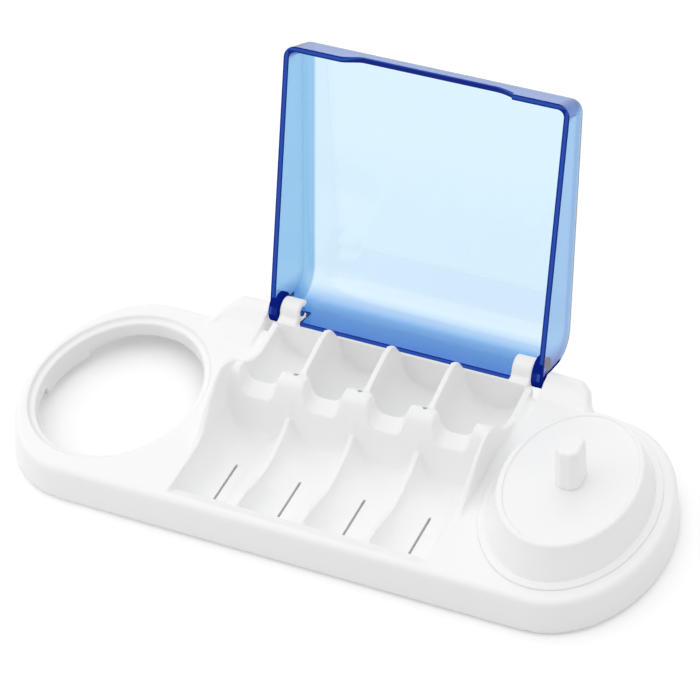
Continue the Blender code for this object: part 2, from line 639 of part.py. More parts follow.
def post_form():
    """The upright post that a handle drops onto."""
    rings = []
    for inset, z in ((-0.9, CHARGER_TOP_Z - 1), (-0.9, CHARGER_TOP_Z + 0.2), (0.0, CHARGER_TOP_Z + 1.2),
                     (0.3, POST_TOP_Z - 1.2), (0.6, POST_TOP_Z - 0.4), (1.4, POST_TOP_Z)):
        rings.append(ellipse((0.0, 0.0), (POST_HALF_X - inset, POST_HALF_Y - inset), z, 32, 4.0))
    return loft(rings)


def charger_housing(seat, material):
    housing = add("charger_housing", charger_form(), seat, material)
    mouth = (LIP[0] - 0.8 - 1.3, LIP[1] - 1.0 - 1.3)
    room = (mouth[0] - SEAL_WIDTH - 0.3, mouth[1] - SEAL_WIDTH - 0.3)
    ceiling = (CHARGER_TOP[0] - CHARGER_WALL, CHARGER_TOP[1] - CHARGER_WALL)
    rings = [(mouth, 0.0), (mouth, SHELF_Z), (room, SHELF_Z), (room, LIP_Z + 1), (ceiling, CEILING_Z)]
    cut(housing, "housing_room", loft([ellipse((0.0, 0.0), axes, z, 48) for axes, z in rings]))
    join(housing, "post", post_form())
    bore = CORE_RADIUS + GAP
    cut(housing, "core_bore", turned([(bore, CEILING_Z - 1), (bore, POST_TOP_Z - WALL)], steps=24))
    for number, place in enumerate(SCREW_PLACES, start=1):
        hole = SCREW_RADIUS + GAP
        body = [(hole + BOSS_WALL, COVER_Z + COVER_THICK + GAP), (hole + BOSS_WALL, CEILING_Z + 1)]
        join(housing, f"screw_boss_{number}", turned(body, place, 20))
        drill = [(hole, COVER_Z), (hole, COVER_Z + SCREW_HEAD + SCREW_LENGTH + 1)]
        cut(housing, f"screw_hole_{number}", turned(drill, place, 20))


def charger_base(seat, material):
    """The bottom cover with pillars for the board and the bobbin, counterbores and a cord hole."""
    plate = (LIP[0] - 0.8 - 1.3 - GAP, LIP[1] - 1.0 - 1.3 - GAP)
    top = COVER_Z + COVER_THICK
    disc = loft([ellipse((0.0, 0.0), plate, z, 48) for z in (COVER_Z, top)])
    cover = add("charger_base", disc, seat, material)
    pillar_y = (BOARD_FRONT_Y + BOARD_BACK_Y) / 2
    for number, place in enumerate(((-9.0, pillar_y), (9.0, pillar_y), (0.0, 0.0)), start=1):
        radius = 2.0 if place != (0.0, 0.0) else BOBBIN_RADIUS - 2
        join(cover, f"pillar_{number}", turned([(radius, top - 1), (radius, top + STANDOFF)], place, 20))
    for number, place in enumerate(SCREW_PLACES, start=1):
        hole = SCREW_RADIUS + GAP
        head = SCREW_HEAD_RADIUS + GAP
        cut(cover, f"cover_hole_{number}", turned([(hole, COVER_Z - 1), (hole, top + 1)], place, 20))
        sink = [(head, COVER_Z - 1), (head, COVER_Z + SCREW_HEAD + 2 * GAP)]
        cut(cover, f"counterbore_{number}", turned(sink, place, 20))
    hole = GLAND_RADIUS + GAP
    cut(cover, "cord_hole", turned([(hole, COVER_Z - 1), (hole, top + 1)], (0.0, GLAND_Y), 24))


def charger_trim(seat, rubber, steel):
    """The seal, the screws, the cord gland and the pads."""
    top = COVER_Z + COVER_THICK
    outer = (LIP[0] - 0.8 - 1.3 - GAP, LIP[1] - 1.0 - 1.3 - GAP)
    inner = (outer[0] - SEAL_WIDTH, outer[1] - SEAL_WIDTH)
    low, high = top + GAP, top + GAP + SEAL_THICK
    seal = add("charger_seal", loft([ellipse((0.0, 0.0), outer, z, 48) for z in (low, high)]), seat, rubber)
    cut(seal, "seal_hole", loft([ellipse((0.0, 0.0), inner, z, 48) for z in (low - 1, high + 1)]))

    for number, place in enumerate(SCREW_PLACES, start=1):
        head = COVER_Z + GAP
        shank = head + SCREW_HEAD
        profile = [(SCREW_HEAD_RADIUS, head), (SCREW_HEAD_RADIUS, shank), (SCREW_RADIUS, shank),
                   (SCREW_RADIUS, shank + SCREW_LENGTH - 1), (0.4, shank + SCREW_LENGTH)]
        add(f"base_screw_{number}", turned(profile, place, 16), seat, steel)

    flange = top + GAP
    profile = [(GLAND_RADIUS - 0.5, SEAT_Z - 1.5), (GLAND_RADIUS, COVER_Z), (GLAND_RADIUS, flange),
               (GLAND_RADIUS + 1.2, flange), (GLAND_RADIUS + 1.2, flange + 1.2)]
    gland = add("cord_gland", turned(profile, (0.0, GLAND_Y), 24), seat, rubber)
    bore = [(GLAND_BORE, 0.0), (GLAND_BORE, flange + REACH)]
    cut(gland, "gland_bore", turned(bore, (0.0, GLAND_Y), 16))

    ring = ((SEAT_HOLE[0] + LIP[0]) / 2, (SEAT_HOLE[1] + LIP[1]) / 2)
    pad = [(PAD_RADIUS, CHARGER_Z), (PAD_RADIUS, CHARGER_Z + PAD_HEIGHT)]
    for number, (x, y, _) in enumerate(ellipse((0.0, 0.0), ring, 0.0, 8)[1::2], start=1):
        add(f"charger_pad_{number}", turned(pad, (x, y), 16), seat, rubber)


def coil_set(seat, nylon, copper, ferrite):
    """The bobbin with its winding, and the ferrite rod that runs up into the post."""
    low, high = DECK_PARTS_Z, CEILING_Z - 0.5
    tube = CORE_RADIUS + GAP + BOBBIN_TUBE
    profile = [(BOBBIN_RADIUS, low), (BOBBIN_RADIUS, low + BOBBIN_FLANGE), (tube, low + BOBBIN_FLANGE),
               (tube, high - BOBBIN_FLANGE), (BOBBIN_RADIUS, high - BOBBIN_FLANGE), (BOBBIN_RADIUS, high)]
    bobbin = add("coil_bobbin", turned(profile, steps=32), seat, nylon)
    bore = CORE_RADIUS + GAP
    cut(bobbin, "bobbin_bore", turned([(bore, low - 1), (bore, high + 1)], steps=24))
    start, end = low + BOBBIN_FLANGE + GAP, high - BOBBIN_FLANGE - GAP
    winding = BOBBIN_RADIUS - 0.6
    coil = add("primary_coil", turned([(winding, start), (winding, end)], steps=32), seat, copper)
    cut(coil, "coil_bore", turned([(tube + GAP, start - 1), (tube + GAP, end + 1)], steps=24))
    rod = [(CORE_RADIUS, low), (CORE_RADIUS, POST_TOP_Z - WALL - GAP)]
    add("ferrite_core", turned(rod, steps=24), seat, ferrite)


def board_set(seat, paints):
    """The circuit board and what stands on it."""
    low = DECK_PARTS_Z
    deck = low + BOARD_THICK + GAP
    plate = block(-BOARD_HALF_X, BOARD_HALF_X, BOARD_FRONT_Y, BOARD_BACK_Y, low, low + BOARD_THICK)
    add("circuit_board", plate, seat, paints["board"])
    middle = (BOARD_FRONT_Y + BOARD_BACK_Y) / 2
    for name, x, radius, height, paint in ROUND_PARTS:
        add(name, turned([(radius, deck), (radius, deck + height)], (x, middle), 20), seat, paints[paint])
    for name, x0, x1, y0, y1, height, paint in SQUARE_PARTS:
        add(name, block(x0, x1, middle + y0, middle + y1, deck, deck + height), seat, paints[paint])


def build():
    for item in list(bpy.data.objects):
        bpy.data.objects.remove(item, do_unlink=True)
    white = finish("white_plastic", (0.90, 0.90, 0.91), 0.28)
    blue = finish("clear_blue", (0.16, 0.44, 0.92), 0.05, alpha=0.45)
    rubber = finish("grey_rubber", (0.20, 0.20, 0.21), 0.75)
    steel = finish("zinc_steel", (0.72, 0.72, 0.74), 0.30, metallic=1.0)
    copper = finish("copper_wire", (0.72, 0.33, 0.16), 0.35, metallic=1.0)
    ferrite = finish("ferrite", (0.09, 0.09, 0.10), 0.60)
    nylon = finish("natural_nylon", (0.86, 0.84, 0.76), 0.45)
    paints = {"board": finish("green_laminate", (0.05, 0.28, 0.12), 0.40), "ferrite": ferrite, "nylon": nylon,
              "black": finish("black_epoxy", (0.03, 0.03, 0.03), 0.45),
              "film": finish("red_film", (0.55, 0.10, 0.07), 0.35)}
    frame = empty("tray_frame", (0.0, -MIDDLE_Y, FOOT_PROUD))
    base_tray(frame, white)
    tray_feet(frame, rubber)
    axis = empty("lid_axis", (BAY_X, HINGE_Y, HINGE_Z), frame, math.radians(-LID_OPEN_DEG))
    lid_shell(axis, blue)
    seat = empty("charger_place", (CHARGER_X, CHARGER_Y, 0.0), frame)
    charger_housing(seat, white)
    charger_base(seat, white)
    charger_trim(seat, rubber, steel)
    coil_set(seat, nylon, copper, ferrite)
    board_set(seat, paints)


build()
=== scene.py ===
"""Looks of the electric toothbrush holder: camera, soft light, materials and fine moulded surfaces."""
import math

import bmesh
import bpy
from mathutils import Matrix, Vector


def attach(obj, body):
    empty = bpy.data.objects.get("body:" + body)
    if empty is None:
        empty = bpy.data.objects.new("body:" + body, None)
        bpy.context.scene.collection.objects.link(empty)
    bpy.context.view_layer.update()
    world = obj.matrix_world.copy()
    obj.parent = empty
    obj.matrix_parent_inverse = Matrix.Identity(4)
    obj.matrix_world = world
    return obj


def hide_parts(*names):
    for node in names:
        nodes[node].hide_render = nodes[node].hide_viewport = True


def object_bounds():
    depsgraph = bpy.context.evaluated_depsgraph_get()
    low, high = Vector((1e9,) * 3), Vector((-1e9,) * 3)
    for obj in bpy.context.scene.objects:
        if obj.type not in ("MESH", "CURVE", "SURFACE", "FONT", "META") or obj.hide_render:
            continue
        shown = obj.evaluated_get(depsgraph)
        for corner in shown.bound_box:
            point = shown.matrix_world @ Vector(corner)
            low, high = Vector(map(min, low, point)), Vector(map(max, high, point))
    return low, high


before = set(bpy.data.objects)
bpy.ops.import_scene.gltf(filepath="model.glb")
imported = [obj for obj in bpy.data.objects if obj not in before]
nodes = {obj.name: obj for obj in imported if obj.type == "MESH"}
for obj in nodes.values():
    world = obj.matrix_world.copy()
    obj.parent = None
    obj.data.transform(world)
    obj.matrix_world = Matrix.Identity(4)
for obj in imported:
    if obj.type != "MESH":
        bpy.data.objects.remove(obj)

MM = 0.001
PLACE = Vector((0.0, -20.95, 1.0))      # the tray's own origin in the model, in mm
GAP = 0.3                  # between pieces that touch, and round a piece in its hole
REACH = 4.0                # how far a cutter runs past the surface that it opens

# Tray body: straight sides with elliptical ends, open below
END_X = 76.0               # distance from the middle to the centre of each end
END_RADIUS_X = 30.1
HALF_DEPTH = 41.6
DECK_Z = 11.5
WALL = 2.0
SIDE_DRAFT = 0.9           # how far the side leans in by the foot of the rounded edge
EDGE_RADIUS = 2.2
FOOT_PROUD = 1.0           # how far the rubber feet lift the tray

# Bays, saddle and wells, centred a little to the right of the tray's middle
BAY_X = 2.5
BAY_COUNT = 4
BAY_PITCH = 21.43
FIN = 1.8                  # dividing fins between the bays
BAY_FRONT_Y = -38.0        # where the front rim starts to fall towards the bays
BAY_FLOOR_Z = 2.2
SADDLE_FOOT_Y = 1.0
NOTCH_LIP_Y = 5.4
NOTCH_Z = 15.4             # at the lip; the notch rises towards the well
NOTCH_RISE = 2.9
NOTCH_HALF = 5.5
NOTCH_CORNER = 3.0
SADDLE_TOP_Z = 24.0
SADDLE_TOP_Y = 9.2
SADDLE_BACK_Y = 13.6
SADDLE_ROOF_Z = 10.0       # of the hollow under the saddle
SADDLE_SKIN = 0.5          # how far the saddle's face stands before it is cut by the bays
WELL_FRONT_Y = 10.5
WELL_ROUND = 8.5           # how far the well takes to reach its full width
WELL_TURNS = (6, 12, 20, 28, 36, 44, 52, 60, 68, 76, 83, 90)        # round its front, in degrees
REAR_FIN_Z = 22.7
BACK_WALL = 2.4
BACK_TOP_Z = 13.4
OUTER_FIN = 2.3
OUTER_LEAN = 1.5           # how far the outer fins thin towards their top
SLOT_HALF = 0.42           # half the visible slot's width
SLOT_FRONT_Y = -27.0
SLOT_BACK_Y = -11.0
POST_HOLE_DEPTH = 3.0
POST_HOLE_Y = 12.3

# Heights along the depth, as (y, z)
FRONT_SLOPE = ((BAY_FRONT_Y, DECK_Z + 0.1), (-33.6, 9.4), (-28.6, 2.8), (-27.6, BAY_FLOOR_Z))
SADDLE_FACE = ((SADDLE_FOOT_Y, BAY_FLOOR_Z), (2.9, 3.9), (4.1, 7.0), (4.9, 11.0), (NOTCH_LIP_Y + 0.6, 18.5),
               (7.6, 22.4), (SADDLE_TOP_Y, SADDLE_TOP_Z - 0.4))
FIN_TOP = ((BAY_FRONT_Y, DECK_Z + 0.1), (-33.6, 9.6), (-27.6, 9.2), (-21.0, 7.6), (-15.5, 6.4),
           (-9.0, 6.7), (-4.0, 8.1), (SADDLE_FOOT_Y, 9.6), (4.1, DECK_Z + 0.1))
OUTER_TOP = ((-30.0, DECK_Z - 0.2), (-18.0, DECK_Z + 0.2), (-14.0, 12.5), (-10.5, 14.3), (-7.0, 17.3),
             (-1.2, 21.9), (3.5, 24.3), (6.5, 24.9), (9.5, 24.5), (13.0, 22.5), (17.0, 18.0), (21.0, 14.7),
             (25.0, 12.8), (29.0, DECK_Z + 0.4))

# Half of the hollow under a fin, as (x, z)
FIN_HOLLOW = ((6.2, -REACH), (6.2, 0.9), (4.0, 1.8), (2.3, 2.7))

# Lid and hinge
LID_HALF = 46.5
LID_LENGTH = 93.2
LID_WALL = 1.8
LID_REAR_HEIGHT = 27.0     # the top face's height over the hinge end of the rim, before rounding
LID_FRONT_HEIGHT = 14.6
LID_FRONT_DRAFT = 2.6
LID_REAR_RADIUS = 10.0
LID_FRONT_RADIUS = 5.0
LID_CORNER = 4.0
LID_SEAT = 0.4             # gap between the closed lid's rim and the deck
LID_SIDE_GAP = 0.5         # gap between the closed lid's walls and the tray beside them
LID_OPEN_DEG = 106.5
HINGE_INSET = 4.0          # from the lid's rear face to the hinge axis
HINGE_RISE = 3.0           # from the lid's rim to the hinge axis
HINGE_Y = 48.0
PIN_RADIUS = 1.5
LUG_RADIUS = 5.0
LUG_WIDTH = 3.3
CLIP_WIDTH = 6.6
CLIP_WALL = 2.1
CLIP_ROOM = 1.2            # over a clip, in the lid's rear wall
CLIP_TIP_DEG = 20          # the hook's two ends, as turns from the rear
CLIP_FOOT_DEG = 315
CLIP_ROOT_DEG = 255        # where the hook leaves the back wall
NOTCH_GAP = 0.4            # at each side of a clip, in the lid's rear wall
GRIP_HALF = 28.0
GRIP_DEPTH = 5.5
GRIP_EASE = 6.0            # length of the grip's curved ends

# Shoulders beside the hinge
SHOULDER_OUT = 61.0
SHOULDER_BACK_Y = 51.4
SHOULDER_Z = 15.3
SHOULDER_FRONT_Y = 27.0

# Left ring
RING_X = -75.0
RING_Y = 0.1
RING_RIM = (27.4, 33.5)    # semi-axes of the ledge's outer edge
RING_LEDGE = 2.5
RING_LEDGE_DROP = 1.5
SKIRT = 1.6
SKIRT_Z = 5.0
TAB_Z = 2.0
TAB_FROM_DEG = 140.0
TAB_TO_DEG = 188.0

# Charger and its seat
CHARGER_X = 75.2
CHARGER_Y = 0.6
LIP = (24.7, 35.2)
LIP_Z = 11.3
LIP_HEIGHT = 0.9
SEAT_GAP = 0.5             # round the charger's lip
SEAT_Z = 5.0
SEAT_FLOOR = 2.0
SEAT_HOLE = (17.0, 26.0)
CHARGER_FOOT = (23.4, 33.6)
CHARGER_TOP = (20.7, 29.4)
CHARGER_TOP_Z = 22.5
CHARGER_WALL = 2.2
POST_TOP_Z = 37.5
PAD_HEIGHT = 0.6
COVER_THICK = 2.0
SEAL_THICK = 0.5
SEAL_WIDTH = 0.9
CORE_RADIUS = 1.5
SCREW_RADIUS = 1.2
SCREW_HEAD = 0.8
SCREW_LENGTH = 6.0
SCREW_PLACES = ((-13.5, 17.0), (13.5, 17.0), (0.0, -26.0))
BOSS_WALL = 1.5
CORD_EXIT = 6.0

# Rubber feet
FOOT_RADIUS = 3.8
FOOT_THICK = 1.6
FOOT_OUT = 54.0            # from the bays' centre plane
FOOT_FRONT_Y = 9.1 - HALF_DEPTH
FOOT_REAR_Y = HINGE_Y - 4.0
FOOT_BOSS_WALL = 0.4
FEET = [("tray_foot_front_left", -1, FOOT_FRONT_Y), ("tray_foot_front_right", 1, FOOT_FRONT_Y),
        ("tray_foot_rear_left", -1, FOOT_REAR_Y), ("tray_foot_rear_right", 1, FOOT_REAR_Y)]

BAY_HALF = (BAY_PITCH - FIN) / 2
BAY_CENTRES = [(i - (BAY_COUNT - 1) / 2) * BAY_PITCH for i in range(BAY_COUNT)]
FIN_CENTRES = [(i - BAY_COUNT / 2) * BAY_PITCH for i in range(1, BAY_COUNT)]
FLANK = BAY_CENTRES[-1] + BAY_HALF + OUTER_FIN             # outer face of the bays' outer walls
RIM_Z = DECK_Z + LID_SEAT
HINGE_Z = RIM_Z + HINGE_RISE
LUG_INNER = LID_HALF - LUG_WIDTH
CLIP_CENTRE = LUG_INNER - NOTCH_GAP - CLIP_WIDTH / 2
CLIP_RADIUS = PIN_RADIUS + GAP + CLIP_WALL
BACK_Y = HINGE_Y - HINGE_INSET - LID_SIDE_GAP              # the back wall's rear face, the open lid's stop
WELL_BACK_Y = BACK_Y - BACK_WALL
SHOULDER_IN = LID_HALF + LID_SIDE_GAP
CHARGER_Z = SEAT_Z + GAP                                   # underside of the charger's pads
COVER_Z = CHARGER_Z + PAD_HEIGHT + GAP
SHELF_Z = COVER_Z + COVER_THICK + SEAL_THICK + 2 * GAP     # the housing's step over the seal
CEILING_Z = CHARGER_TOP_Z - CHARGER_WALL

# Camera, fitted to the photograph
VIEW_ANGLES = (27.12, 41.5, -4.4)                          # azimuth, elevation and roll, in degrees
VIEW_TARGET = Vector((-19.98, 51.62, 0.0))
VIEW_DISTANCE = 924.6
FOCAL_PIXELS = 2889.27     # focal length in pixels of the photograph
PHOTO_PIXELS = 700
SENSOR = 36.0

# Light
WORLD_LIGHT = 0.555
FLOOR_SIZE = 3.0
FLOOR_TONE = 0.84
FLOOR_LIFT = 0.27          # the floor's own light, for the eye's rays alone

# Finer forms of the visible pieces
FINER = 2                  # how much finer the curves are than the model's
FILLET_MESH = 0.42         # mesh size that the tray's fillets are made in
FILLET_ROUNDS = 4
LINE_STEPS = 4             # points that a smooth line gets between two of its given ones
EASE_FRONT_Y = -36.0       # where the bays' right sides start and stop to round over towards their fins
EASE_BACK_Y = 1.0
EASE_FROM = 0.3            # share of a bay's half-width from which they do
NOTCH_FLARE = 3.2
HOLE_RADIUS = 0.85
EDGE_BEVEL = 0.45          # bevels along the lid's edges
GRIP_STEPS = 24
GRIP_RIGHT_EASE = 7.5      # length of the curve at the finger notch's right end
GRIP_RIGHT_START = 0.3     # share of the notch's depth that the right end starts with
PLUG = (LIP[0] - 0.8, LIP[1] - 1.0)                        # the part of the charger that stands in its seat
PLUG_WALL = 1.3
LIP_WIDER = 1.1            # how far the visible lip reaches out over the gap round it
LIP_EDGE = 0.5
TOP_EDGE = 1.2
DISH = 0.4                 # how far the charger's top lies below its rim
DISH_LINE = ((0.5, 0.0), (0.65, 0.06), (0.85, 0.28), (1.0, DISH), (1.6, DISH + 0.03))        # inwards, down
FOOT_LINE = ((0.3, 0.3, 0.0), (0.12, 0.12, -0.12), (-0.02, -0.02, -0.04), (-0.1, -0.14, 0.4))  # out x, y, up
POST_OUT = (3.6, 4.9)      # half-widths of the visible post
POST_HEAD_Z = 36.0
POST_HEAD_EDGE = 1.0
POST_FILLET = 0.3          # at the post's foot
POST_FACETS = (0.4, 0.62)  # share of each half-width that a flat side takes
CORNER_START = 0.16        # share of a side at which the post's corners start to round off
CORNER_ROUND = 0.05
CORNER_IN = 0.985
LUG_SUNK = 0.4             # how far the visible lugs end inside the lid's side walls

# Colours of the clear plastic, with painted shade at its hinge end
HINGE_SHADE_TINTS = ((0.05, 0.2, 0.66), (0.108, 0.295, 0.63), (0.285, 0.48, 0.8))        # painted shade of the hinge end, from the rim upwards: deep blue where the floor beneath lies in shade
HINGE_SHADE_PLACES = (0.45, 0.72)                                # where the last two lie, as shares of its height
HINGE_SHADE_END = 3.0            # how far below the hinge end's height the painted shade has gone
SIDE_TINT = (0.42, 0.63, 0.81)
SIDE_BAND = (4.3, 3.8)     # how far inside the lid's sides their tint starts and is full
FRONT_TINT = (0.12, 0.26, 0.6)
FRONT_BAND = (5.5, 3.5)    # the same behind the lid's front
HINGE_SHADE_BAND = (-7.0, 0.5)    # from the hinge axis, where the hinge end's painted shade starts and is full
PANEL_TINT = (0.93, 0.97, 1.0)
BORDER_TINT = (0.004, 0.018, 0.25)
BORDER_WIDTH = 0.42        # dark line along both edges of the lid's rim
BORDER_BLUR = 0.15
PLASTIC_IOR = 1.49
DEPTH_BLUE = (0.03, 0.62, 0.95)                            # what the plastic's depth lets through
DEPTH_DENSITY = 170.0      # per metre
CLOUD_SCALE = 25.0         # how closely the solid materials' colour varies

# Telling faces and edges apart
EDGE_SLACK = 0.1           # round the lugs and the hinge cut-outs
EDGE_BAND = 0.4            # how far over the rim its deep tint reaches
RIM_SIDE = -0.3            # faces that look up more than this aren't the rim's
RIM_DOWN = -0.97           # and faces that look down more than this are its underside
EDGE_SLOT = 1              # places of the deep blue and of the rim's blue in the lid's materials
RIM_SLOT = 2
BEVEL_DEG = 50             # edges sharper than this get a bevel
SHARP_DEG = 32.0           # and these stay sharp in the shading
TRAY_SHARP_DEG = 50

cad_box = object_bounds()
tools = []                 # boolean tools that wait until their piece's steps are applied


def camera():
    """The photograph's viewpoint, in the tray's own millimetres."""
    right, up, back = view_axes(*VIEW_ANGLES)
    place = (VIEW_TARGET + back * VIEW_DISTANCE + PLACE) * MM
    data = bpy.data.cameras.new("camera")
    data.sensor_width = SENSOR
    data.lens = FOCAL_PIXELS / PHOTO_PIXELS * SENSOR
    data.clip_start = 0.05
    data.clip_end = 20.0
    item = bpy.data.objects.new("camera", data)
    item.matrix_world = Matrix((
        (right.x, up.x, back.x, place.x),
        (right.y, up.y, back.y, place.y),
        (right.z, up.z, back.z, place.z),
        (0, 0, 0, 1)))
    bpy.context.scene.collection.objects.link(item)
    bpy.context.scene.camera = item


def view_axes(azimuth, elevation, roll):
    """The camera's right, up and backward directions."""
    az, el, roll = (math.radians(v) for v in (azimuth, elevation, roll))
    back = Vector((math.sin(az) * math.cos(el), -math.cos(az) * math.cos(el), math.sin(el)))
    right = Vector((math.cos(az), math.sin(az), 0.0))
    up = back.cross(right)
    turned_right = right * math.cos(roll) + up * math.sin(roll)
    turned_up = -right * math.sin(roll) + up * math.cos(roll)
    return turned_right, turned_up, back


def aim(name, data, towards):
    """Hangs up a lamp that shines on the object from a direction."""
    item = bpy.data.objects.new(name, data)
    item.rotation_euler = Vector(towards).to_track_quat('Z', 'Y').to_euler()
    bpy.context.scene.collection.objects.link(item)
    return item


def sun(name, towards, strength, spread_deg):
    """A far lamp: the wider its spread, the softer its shadows."""
    data = bpy.data.lights.new(name, 'SUN')
    data.energy = strength
    data.angle = math.radians(spread_deg)
    aim(name, data, towards)


def panel(name, at, watts, size):
    """A soft square lamp near the object, turned to it."""
    data = bpy.data.lights.new(name, 'AREA')
    data.energy = watts
    data.size = size
    aim(name, data, at).location = at


def worked_out(tree, operation, first, second=0.0):
    """The result of a sum in a shader; each item is a number or a socket."""
    node = tree.nodes.new("ShaderNodeMath")
    node.operation = operation
    for socket, item in zip(node.inputs, (first, second)):
        if isinstance(item, float):
            socket.default_value = item
        else:
            tree.links.new(item, socket)
    return node.outputs[0]


def band(tree, value, start, full):
    """0 up to a start in millimetres, and from there rising to 1 where it is full."""
    node = tree.nodes.new("ShaderNodeMapRange")
    node.inputs["From Min"].default_value = start * MM
    node.inputs["From Max"].default_value = full * MM
    tree.links.new(value, node.inputs["Value"])
    return node.outputs[0]


def laid_over(tree, share, below, above, blend='MIX'):
    """A colour laid over another one by a share; each colour is a value or a socket."""
    node = tree.nodes.new("ShaderNodeMix")
    node.data_type = 'RGBA'
    node.blend_type = blend
    tree.links.new(share, node.inputs[0])
    for socket, colour in ((node.inputs[6], below), (node.inputs[7], above)):
        if isinstance(colour, tuple):
            socket.default_value = (*colour, 1)
        else:
            tree.links.new(colour, socket)
    return node.outputs[2]


def seen_directly(tree):
    """1 for rays of the eye, also those through glass or by reflection, and 0 for the light itself."""
    path = tree.nodes.new("ShaderNodeLightPath")
    either = worked_out(tree, 'MAXIMUM', path.outputs["Is Camera Ray"], path.outputs["Is Glossy Ray"])
    return worked_out(tree, 'MAXIMUM', either, path.outputs["Is Transmission Ray"])


def stage():
    """A white floor and world that keep the object's shadow."""
    body = bmesh.new()
    bmesh.ops.create_grid(body, x_segments=1, y_segments=1, size=FLOOR_SIZE)
    mesh = bpy.data.meshes.new("floor")
    body.to_mesh(mesh)
    body.free()
    floor = bpy.data.objects.new("floor", mesh)
    bpy.context.scene.collection.objects.link(floor)
    material, tree, shader = new_material("floor")
    shader.inputs["Base Color"].default_value = (FLOOR_TONE, FLOOR_TONE, FLOOR_TONE, 1)
    shader.inputs["Roughness"].default_value = 1.0
    shader.inputs["Specular IOR Level"].default_value = 0.0
    shader.inputs["Emission Color"].default_value = (1, 1, 1, 1)
    lift = worked_out(tree, 'MULTIPLY', seen_directly(tree), FLOOR_LIFT)
    tree.links.new(lift, shader.inputs["Emission Strength"])
    mesh.materials.append(material)

    world = bpy.data.worlds.new("world")
    bpy.context.scene.world = world
    world.use_nodes = True
    tree = world.node_tree
    tree.nodes.clear()
    seen, lit = (tree.nodes.new("ShaderNodeBackground") for _ in range(2))
    for node, strength in ((seen, 1.0), (lit, WORLD_LIGHT)):
        node.inputs["Color"].default_value = (1, 1, 1, 1)
        node.inputs["Strength"].default_value = strength
    mix = tree.nodes.new("ShaderNodeMixShader")
    out = tree.nodes.new("ShaderNodeOutputWorld")
    tree.links.new(seen_directly(tree), mix.inputs["Fac"])
    tree.links.new(lit.outputs[0], mix.inputs[1])
    tree.links.new(seen.outputs[0], mix.inputs[2])
    tree.links.new(mix.outputs[0], out.inputs["Surface"])


def arc(centre, radius, start_deg, end_deg, steps):
    """Points along an arc, angles from the first axis towards the second."""
    steps = FINER * steps
    turns = [math.radians(start_deg + (end_deg - start_deg) * i / steps) for i in range(steps + 1)]
    return [(centre[0] + radius * math.cos(t), centre[1] + radius * math.sin(t)) for t in turns]


def smooth_line(points):
    """A (y, z) line with more points, drawn smooth through the given ones without overshoot."""
    slopes = [(b[1] - a[1]) / (b[0] - a[0]) for a, b in zip(points, points[1:])]
    tangents = [slopes[0]]
    for before, after in zip(slopes, slopes[1:]):
        same = before * after > 0
        tangents.append(2 * before * after / (before + after) if same else 0.0)
    tangents.append(slopes[-1])
    line = []
    for i in range(len(points) - 1):
        (y0, z0), (y1, z1) = points[i], points[i + 1]
        run = y1 - y0
        for k in range(LINE_STEPS):
            t = k / LINE_STEPS
            z = (2 * t ** 3 - 3 * t ** 2 + 1) * z0 + (t ** 3 - 2 * t ** 2 + t) * run * tangents[i]
            z += (3 * t ** 2 - 2 * t ** 3) * z1 + (t ** 3 - t ** 2) * run * tangents[i + 1]
            line.append((y0 + run * t, z))
    return line + [points[-1]]


def ellipse(centre, axes, z, steps=48):
    """A level ring."""
    steps = FINER * steps
    turns = [2 * math.pi * i / steps for i in range(steps)]
    return [(centre[0] + axes[0] * math.cos(t), centre[1] + axes[1] * math.sin(t), z) for t in turns]


def oval(centre, axes, low, high, steps=48):
    """A straight oval body."""
    return loft([ellipse(centre, axes, z, steps) for z in (low, high)])


def drum(centre, radius, low, high, steps):
    """A straight round body."""
    return oval(centre, (radius, radius), low, high, steps)


def stadium(inset, z, steps=72):
    """The tray's outline drawn in by an inset."""
    ring = []
    for side, start in ((1, -90), (-1, 90)):
        for i in range(steps + 1):
            turn = math.radians(start + 180 * i / steps)
            x = side * END_X + (END_RADIUS_X - inset) * math.cos(turn)
            ring.append((x, (HALF_DEPTH - inset) * math.sin(turn), z))
    return ring


def flat(face):
    """True where a face's fourth corner lies within a micrometre of the plane of the others."""
    a, b, c, d = (vert.co for vert in face.verts)
    normal = (b - a).cross(c - a)
    return abs((d - a).dot(normal)) <= 0.001 * normal.length


def loft(rings):
    """A closed body through rings that have the same number of points."""
    body = bmesh.new()
    rows = [[body.verts.new(point) for point in ring] for ring in rings]
    for low, high in zip(rows, rows[1:]):
        for i in range(len(low)):
            j = (i + 1) % len(low)
            body.faces.new((low[i], low[j], high[j], high[i]))
    body.faces.new(rows[0][::-1])
    body.faces.new(rows[-1])
    twisted = [face for face in body.faces if len(face.verts) == 4 and not flat(face)]
    bmesh.ops.triangulate(body, faces=twisted)
    bmesh.ops.recalc_face_normals(body, faces=body.faces)
    return body


def prism(profile, start, end):
    """A (y, z) profile run along X."""
    return loft([[(x, y, z) for y, z in profile] for x in (start, end)])


def block(x0, x1, y0, y1, z0, z1):
    """A straight-sided block."""
    return prism([(y0, z0), (y1, z0), (y1, z1), (y0, z1)], x0, x1)


def tray_body():
    """The outer form: slightly drafted sides and a rounded upper edge."""
    foot = (SIDE_DRAFT + EDGE_RADIUS, DECK_Z - EDGE_RADIUS)
    edge = arc(foot, EDGE_RADIUS, 180, 90, 4)
    return loft([stadium(0.0, 0.0)] + [stadium(inset, z) for inset, z in edge])


